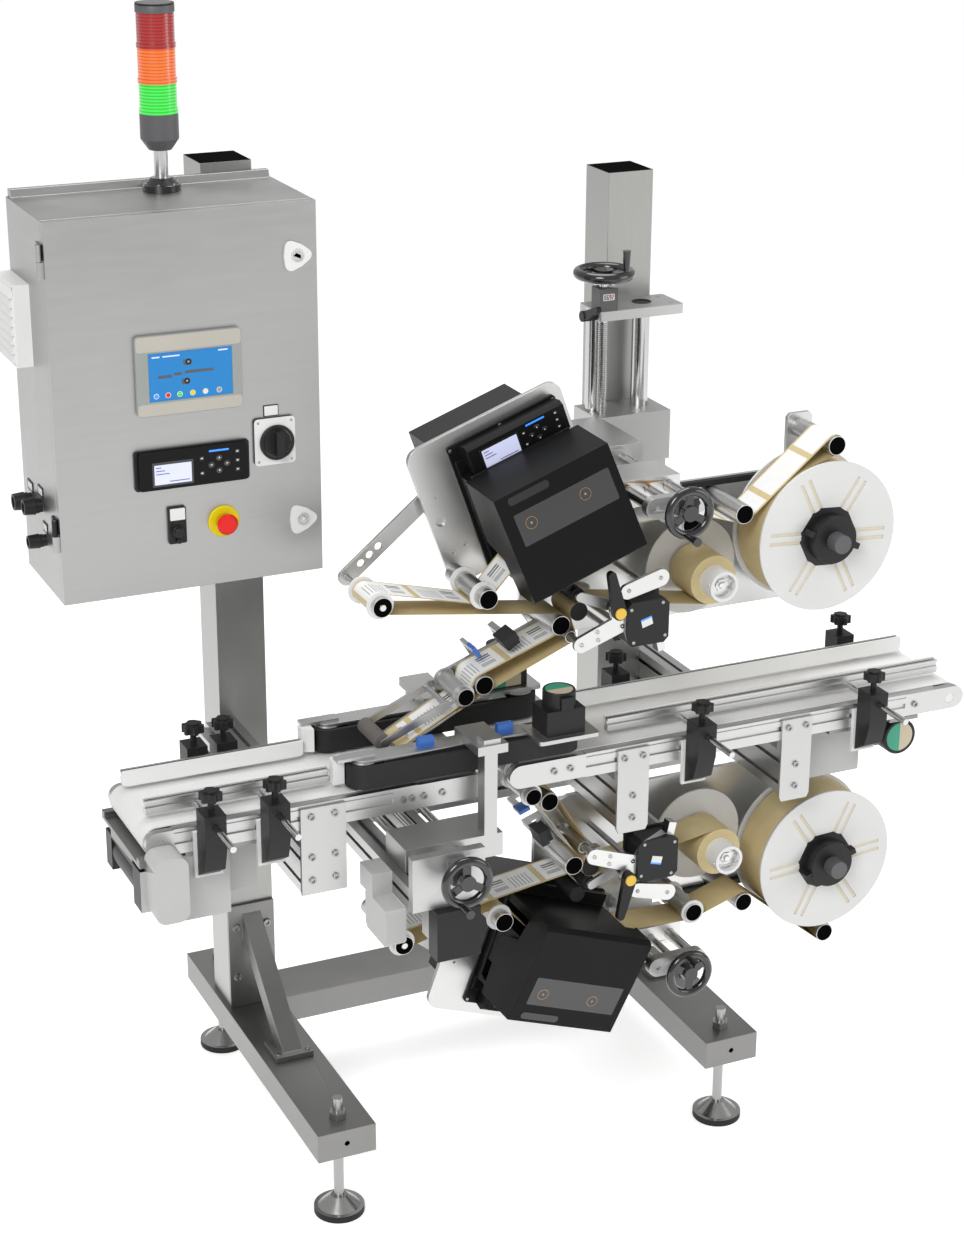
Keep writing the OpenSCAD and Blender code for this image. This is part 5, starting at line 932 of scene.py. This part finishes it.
louvre = {"x": -446.5, "out": 9.0, "low": 1676.0, "pitch": 16.8, "count": 8, "y": (363.0, 485.0)}
glands = ((365, 1406, 13), (345, 1345, 11), (438, 1394, 14))
kit = Kit("cabinet_details", "root", "guard_white")
outline = [(louvre["x"] + 2, louvre["low"] + louvre["pitch"] * louvre["count"])]
for row in range(louvre["count"], 0, -1):
    top = louvre["low"] + louvre["pitch"] * row
    outline += [(louvre["x"] - 1, top), (louvre["x"] - louvre["out"], top - louvre["pitch"] * 0.78),
                (louvre["x"] - louvre["out"] + 1.5, top - louvre["pitch"] * 0.9)]
outline += [(louvre["x"] - 1, louvre["low"]), (louvre["x"] + 2, louvre["low"])]
kit.block(outline, *louvre["y"], "white")
for y, z, r in glands:
    kit.turn([(-441, 0.01), (-441, r * 0.7), (-452, r * 0.75), (-452, r * 1.12), (-438, r * 1.2),
              (-431, r * 1.25), (-430, r * 1.1), (-424, r * 1.1), (-424, 0.01)], (0, y, z), "x", 28, "black")
    # bare tag above the connector
    base = z + r * 1.3
    kit.block(roundedBox((y - r * 1.3, base), (y + r * 1.3, base + 20), 1), -418.4, -416.9, "black", "x")
    kit.block(roundedBox((y - r, base + 4), (y + r, base + 16), 1), -418.8, -418.3, "white", "x")
kit.make(bevel=0.25)

kit = Kit("stack_light_details", "root", "signal")
lampX, lampY = stackLight["at"]
for finish, (z, _) in stackLight["levels"][3:]:
    kit.turn([(z, 34.0), (z, 35.4), (z + 8, 35.4), (z + 8, 34.0)], (lampX, lampY, 0), "z", 64, finish)
kit.turn([(2269, 33), (2269, 35.3), (2281, 35.3), (2284.6, 33.5), (2285.2, 29), (2285.2, 0.01)],
         (lampX, lampY, 0), "z", 64, "grey")
for a in np.arange(6) * math.pi / 3:
    kit.turn([(1963, 0.01), (1963, 3.2), (1965.2, 3.2), (1965.8, 2.4), (1965.8, 0.01)],
             (lampX + 29 * math.cos(a), lampY + 29 * math.sin(a), 0), "z", 16, "screw")
kit.make()

# Lift: thread of the screw, counter, cap of the right shaft and four screws
thread = {"at": (757.0, 418.0), "pitch": 4.0, "root": 9.6, "crest": 10.8, "steps": 20}


def threadStrip(low, high):
    # a ridge wound round the screw: the height grows with the angle, its section steps from root to crest
    turns = (high - low) / thread["pitch"]
    a = np.linspace(0, turns * 2 * math.pi, int(turns * thread["steps"]) + 1)
    z = low + a / (2 * math.pi) * thread["pitch"]
    rise = np.array([-0.42, -0.16, 0.16, 0.42]) * thread["pitch"]
    radius = np.array([thread["root"], thread["crest"], thread["crest"], thread["root"]])
    x = thread["at"][0] + radius * np.cos(a)[:, None]
    y = thread["at"][1] + radius * np.sin(a)[:, None]
    points = np.stack([x, y, z[:, None] + rise], -1)
    faces = [tuple(f) for f in ringFaces(len(a), 4)]
    last = (len(a) - 1) * 4
    return points, faces + [(3, 2, 1, 0), (last, last + 1, last + 2, last + 3)]


kit = Kit("lift_screw_thread", "lift_handwheel", "bright_steel")
kit.add(*threadStrip(1046, 1618), "screw")
kit.make()
kit = Kit("lift_details", "root", "bright_steel")
counter(kit, "0692", 747, 1666, 399.9, 25, 13)
kit.turn([(1643.2, 0.01), (1643.2, 17.6), (1644.6, 17.6), (1644.6, 20), (1643.8, 20.4)],
         (*shaftSpots[1], 0), "z", 48, "black")
for x in (806, 908):
    for y in (470, 415):
        kit.turn([(1643.5, 0.01), (1643.5, 3), (1644.3, 3), (1644.3, 5.2), (1643.6, 5.4)], (x, y, 0), "z", 24,
                 "screw")
kit.make()


def halves(kit, centre, radius, start, low, high, finishes, axis):
    # a disc in two plain colours, parted across its middle
    for turn, finish in enumerate(finishes):
        angles = start + turn * math.pi + np.linspace(0, math.pi, 20)
        kit.block(arc(centre, radius, angles), low, high, finish, axis)


# Conveyor: plain coloured labels of the drives
kit = Kit("outfeed_drive_disc", "root", "guard_white")
kit.turn([(-104, 36.6), (-105.4, 35.6), (-105.4, 31), (-104.6, 30.4)], (1173, 0, 850), "y", 56, "black")
halves(kit, (1173, 850), 30, -math.pi / 2, -104.9, -103.9, ("cream", "green"), "y")
kit.make()
kit = Kit("front_belt_drive_disc", "front_side_belt", "black_plastic")
kit.turn([(1087, 30.6), (1088.6, 29.6), (1088.6, 27), (1087.8, 26.4)], (406, -117, 0), "z", 56, "black")
halves(kit, (406, -117), 26, 0, 1086.9, 1087.9, ("green", "cream"), "z")
kit.make()
kit = Kit("back_belt_drive_label", "back_side_belt", "black_plastic")
for left, right, finish in ((372, 400, "green"), (400, 432, "cream")):
    kit.block([(left, 1010), (right, 1010), (right, 1032), (left, 1032)], 100.2, 101.2, finish)
kit.make()

# Roller ends, name plates, print engine panels and windows of both units
plugs = {"top": (-46, 17.6), "mid": (-46, 17.6), "near": (-50, 17.6), "exit": (-70, 17.6),
         "turn": (-52, 17.6), "idler": (-42, 9.5)}
headPlugs = ((-48, 17.0), (-56, 15.6))
enginePanel = {"face": 39.0, "rim": ((108, 200), (298, 251), 1.6, 5),
               "window": ((122, 201.5), (204, 243), 0.4), "display": ((126, 204), (200, 240)),
               "ink": ((129, 140, 234), (129, 146, 228), (129, 152, 222), (156, 194, 208)),
               "light": ((222, 243.5), (262, 247), 0.6, 0.4, 1.5), "arrows": (242, 222, 11),
               "keys": ((214, 234), (214, 211), (284, 242), (284, 228), (284, 214)), "mark": 1.1}
window = {"low": (97, 104), "high": (296, 166), "rings": ((124, 140), (238, 141)), "ring": 11.5}
coverSlope = {"front": -98, "top": 206, "rise": 32 / 204}
reelSlot = {"count": 6, "turned": 4, "from": 60.5, "to": 127.5, "offset": 9, "half": 3.4}


def endPlug(kit, spot, y, radius):
    # dark plug of a hollow roller, dished a little
    kit.turn([(y + 0.3, radius), (y - 0.25, radius), (y - 0.25, radius * 0.94), (y - 0.05, radius * 0.86),
              (y - 0.05, 0.01)], (spot[0], 0, spot[1]), "y", 40, "plug")


def onCover(shape):
    # a shape drawn on the level y = 0, laid on the sloping front of the engine's cover
    points, faces = shape
    points[..., 1] += coverSlope["front"] - (coverSlope["top"] - points[..., 2]) * coverSlope["rise"]
    return points, faces


for side, place in (("upper", stay), ("lower", lowered)):
    unit = side + "_unit"
    kit = Kit(side + "_roller_plugs", unit, "black_plastic", place)
    for name, (y, radius) in plugs.items():
        endPlug(kit, rollers[name], y, radius)
    for spot, (y, radius) in zip(heads[side], headPlugs):
        endPlug(kit, spot, y, radius)
    # driving motor's plain label, its blue band glowing with painted light, and screws
    kit.block([(588, 1171), (610, 1177), (606, 1193), (584, 1187)], -96.5, -95.8, "white")
    # the band takes the glowing blue of the lamps: a painted glow on print, not a lamp
    kit.block([(584.8, 1184), (606.8, 1190), (606, 1193), (584, 1187)], -96.8, -96.3, "ledBlue")
    for dx, dz in ((-30, -36), (36, -30), (30, 36), (-36, 30)):
        button(kit, rollers["motor"][0] + dx, rollers["motor"][1] + dz, -95.9, 3.4, "screw", 1.4)
    for x, z in ((562, 1246), (628, 1262)):
        button(kit, x, z, -87.9, 4.0, "screw", 2.0)
    kit.make()
    kit = Kit(side + "_dancer_plug", side + "_dancer_roller", "black_plastic", place)
    kit.turn([(-57.7, 17.8), (-58.25, 17.8), (-58.25, 16.7), (-58.05, 15.4), (-58.05, 6.4), (-57.7, 6.4)],
             (rollers["dancer"][0], 0, rollers["dancer"][1]), "y", 40, "plug")
    kit.make()

    def onEngine(points, place=place):
        return place(tilted(points))

    kit = Kit(side + "_engine_panel", unit, "engine_black", onEngine)
    controlPanel(kit, enginePanel)
    plate(kit, (83, 196), (101, 226), 76.5, 79.2, "gloss", 2)
    plate(kit, (86, 199), (98, 223), 75.2, 76.8, "engine", 2)
    for u, v in ((83, -17), (83, 250), (303, -17), (303, 250), (190, 252)):
        button(kit, u, v, 79.0, 3.4, "screw", 1.6)
    kit.make(bevel=0.3)

    # strips of the roll's colour that show in the slots of the front flange
    kit = Kit(side + "_reel_slots", side + "_reel", "label_roll", place)
    inner, outer, half = reelSlot["from"], reelSlot["to"], reelSlot["half"]
    for turn in range(reelSlot["count"]):
        a = math.radians(turn * 360 / reelSlot["count"] + reelSlot["turned"])
        spin = np.array([[math.cos(a), -math.sin(a)], [math.sin(a), math.cos(a)]])
        for offset in (-reelSlot["offset"], reelSlot["offset"]):
            low, high = offset - half, offset + half
            corners = np.array([(inner, low), (outer, low), (outer, high), (inner, high)])
            kit.block(corners @ spin + rollers["reel"][:2], -55.4, -53.4, "rollSide")
    kit.make()

    kit = Kit(side + "_cover_window", side + "_engine_cover", "smoked", onEngine)
    kit.add(*onCover(prism(roundedBox(window["low"], window["high"], 3), -0.5, 0.4)), "pane")
    for u, v in window["rings"]:
        for outer, inner, finish in ((window["ring"], window["ring"] - 1.0, "bronze"), (2.0, 0.01, "bezel")):
            profile = [(-0.75, inner), (-0.75, outer), (-0.3, outer), (-0.3, inner)]
            kit.add(*onCover(turned(profile, (u, 0, v), "y", 40)), finish)
    kit.add(*onCover(prism(roundedBox((97, 184), (182, 199), 7), -0.8, 0.4)), "gloss")
    kit.make(bevel=0.15)

    kit = Kit(side + "_rewind_clip", side + "_rewind", "bright_steel", place)
    kit.turn([(-78, 0.01), (-78, 6), (-77, 7), (-74, 7), (-74, 13), (-71.5, 13.5), (-71.5, 24)],
             (rollers["rewind"][0], 0, rollers["rewind"][1]), "y", 6, "bright")
    loop = [(739, -74, 1222), (738, -79, 1228), (752, -81.5, 1231), (767, -82, 1232), (782, -81.5, 1231),
            (796, -79, 1227), (798, -77, 1220), (790, -77, 1214), (780, -79, 1213)]
    kit.add(*carried(smoothPath(loop, 44), 1.1, 10), "chrome")
    kit.make()
print("details made")

# Floor: white to the camera, in gloss and through glass, and plain with its shadow to every other ray
floorLook = {"half": 14.0, "drop": 0.0005, "color": 0.90, "shine": 0.50}
ground = Recipe("floor")
ground.set(Base_Color=(floorLook["color"],) * 3, Roughness=0.9)
plain = Val(ground, ground.shader.outputs[0])
glow = ground.put("ShaderNodeEmission", None, {"Strength": floorLook["shine"]})
lit = ground.put("ShaderNodeAddShader", None, {0: plain, 1: glow})
cameraRay, glossyRay, throughRay = [ground.put("ShaderNodeLightPath", out="Is %s Ray" % kind)
                                    for kind in ("Camera", "Glossy", "Transmission")]
seen = cameraRay.op("MAXIMUM", glossyRay).op("MAXIMUM", throughRay)
choice = ground.put("ShaderNodeMixShader", None, {0: seen, 1: plain, 2: lit})
ground.join(ground.tree.nodes["Material Output"].inputs[0], choice)
mesh = bpy.data.meshes.new("floor")
h, down = floorLook["half"], -floorLook["drop"]
mesh.from_pydata([(-h, -h, down), (h, -h, down), (h, h, down), (-h, h, down)], [], [(0, 1, 2, 3)])
mesh.materials.append(ground.made)
floor = placed("floor", mesh, 0)

# World: white to the camera, and a plain level of light on the object
sky = Recipe("studio", "worlds", "Background")
sky.set(Color=(1.0, 1.0, 1.0), Strength=0.55)
white = sky.put("ShaderNodeBackground", None, {"Color": (1.0, 1.0, 1.0, 1.0), "Strength": 1.0})
cameraRay = sky.put("ShaderNodeLightPath", out="Is Camera Ray")
choice = sky.put("ShaderNodeMixShader", None, {0: cameraRay, 1: Val(sky, sky.shader.outputs[0]), 2: white})
sky.join(sky.tree.nodes["World Output"].inputs[0], choice)
bpy.context.scene.world = sky.made

lampAim = (0.0, 0.0, 1.0)
lamps = {"key": {"at": (-3.2, -3.4, 4.6), "size": 2.6, "power": 150.0},
         "fill": {"at": (4.2, -3.0, 2.6), "size": 3.2, "power": 55.0},
         "top": {"at": (0.4, 1.2, 5.2), "size": 3.0, "power": 90.0}}
for name, lamp in lamps.items():
    light = bpy.data.lights.new(name, "AREA")
    light.shape = "DISK"
    light.size = lamp["size"]
    light.energy = lamp["power"]
    lampObject = bpy.data.objects.new(name, light)
    lampObject.location = lamp["at"]
    toward = Vector(lampAim) - Vector(lamp["at"])
    lampObject.rotation_euler = toward.to_track_quat("-Z", "Y").to_euler()
    bpy.context.scene.collection.objects.link(lampObject)

bpy.context.scene.view_settings.view_transform = "Standard"
print("scene lit")
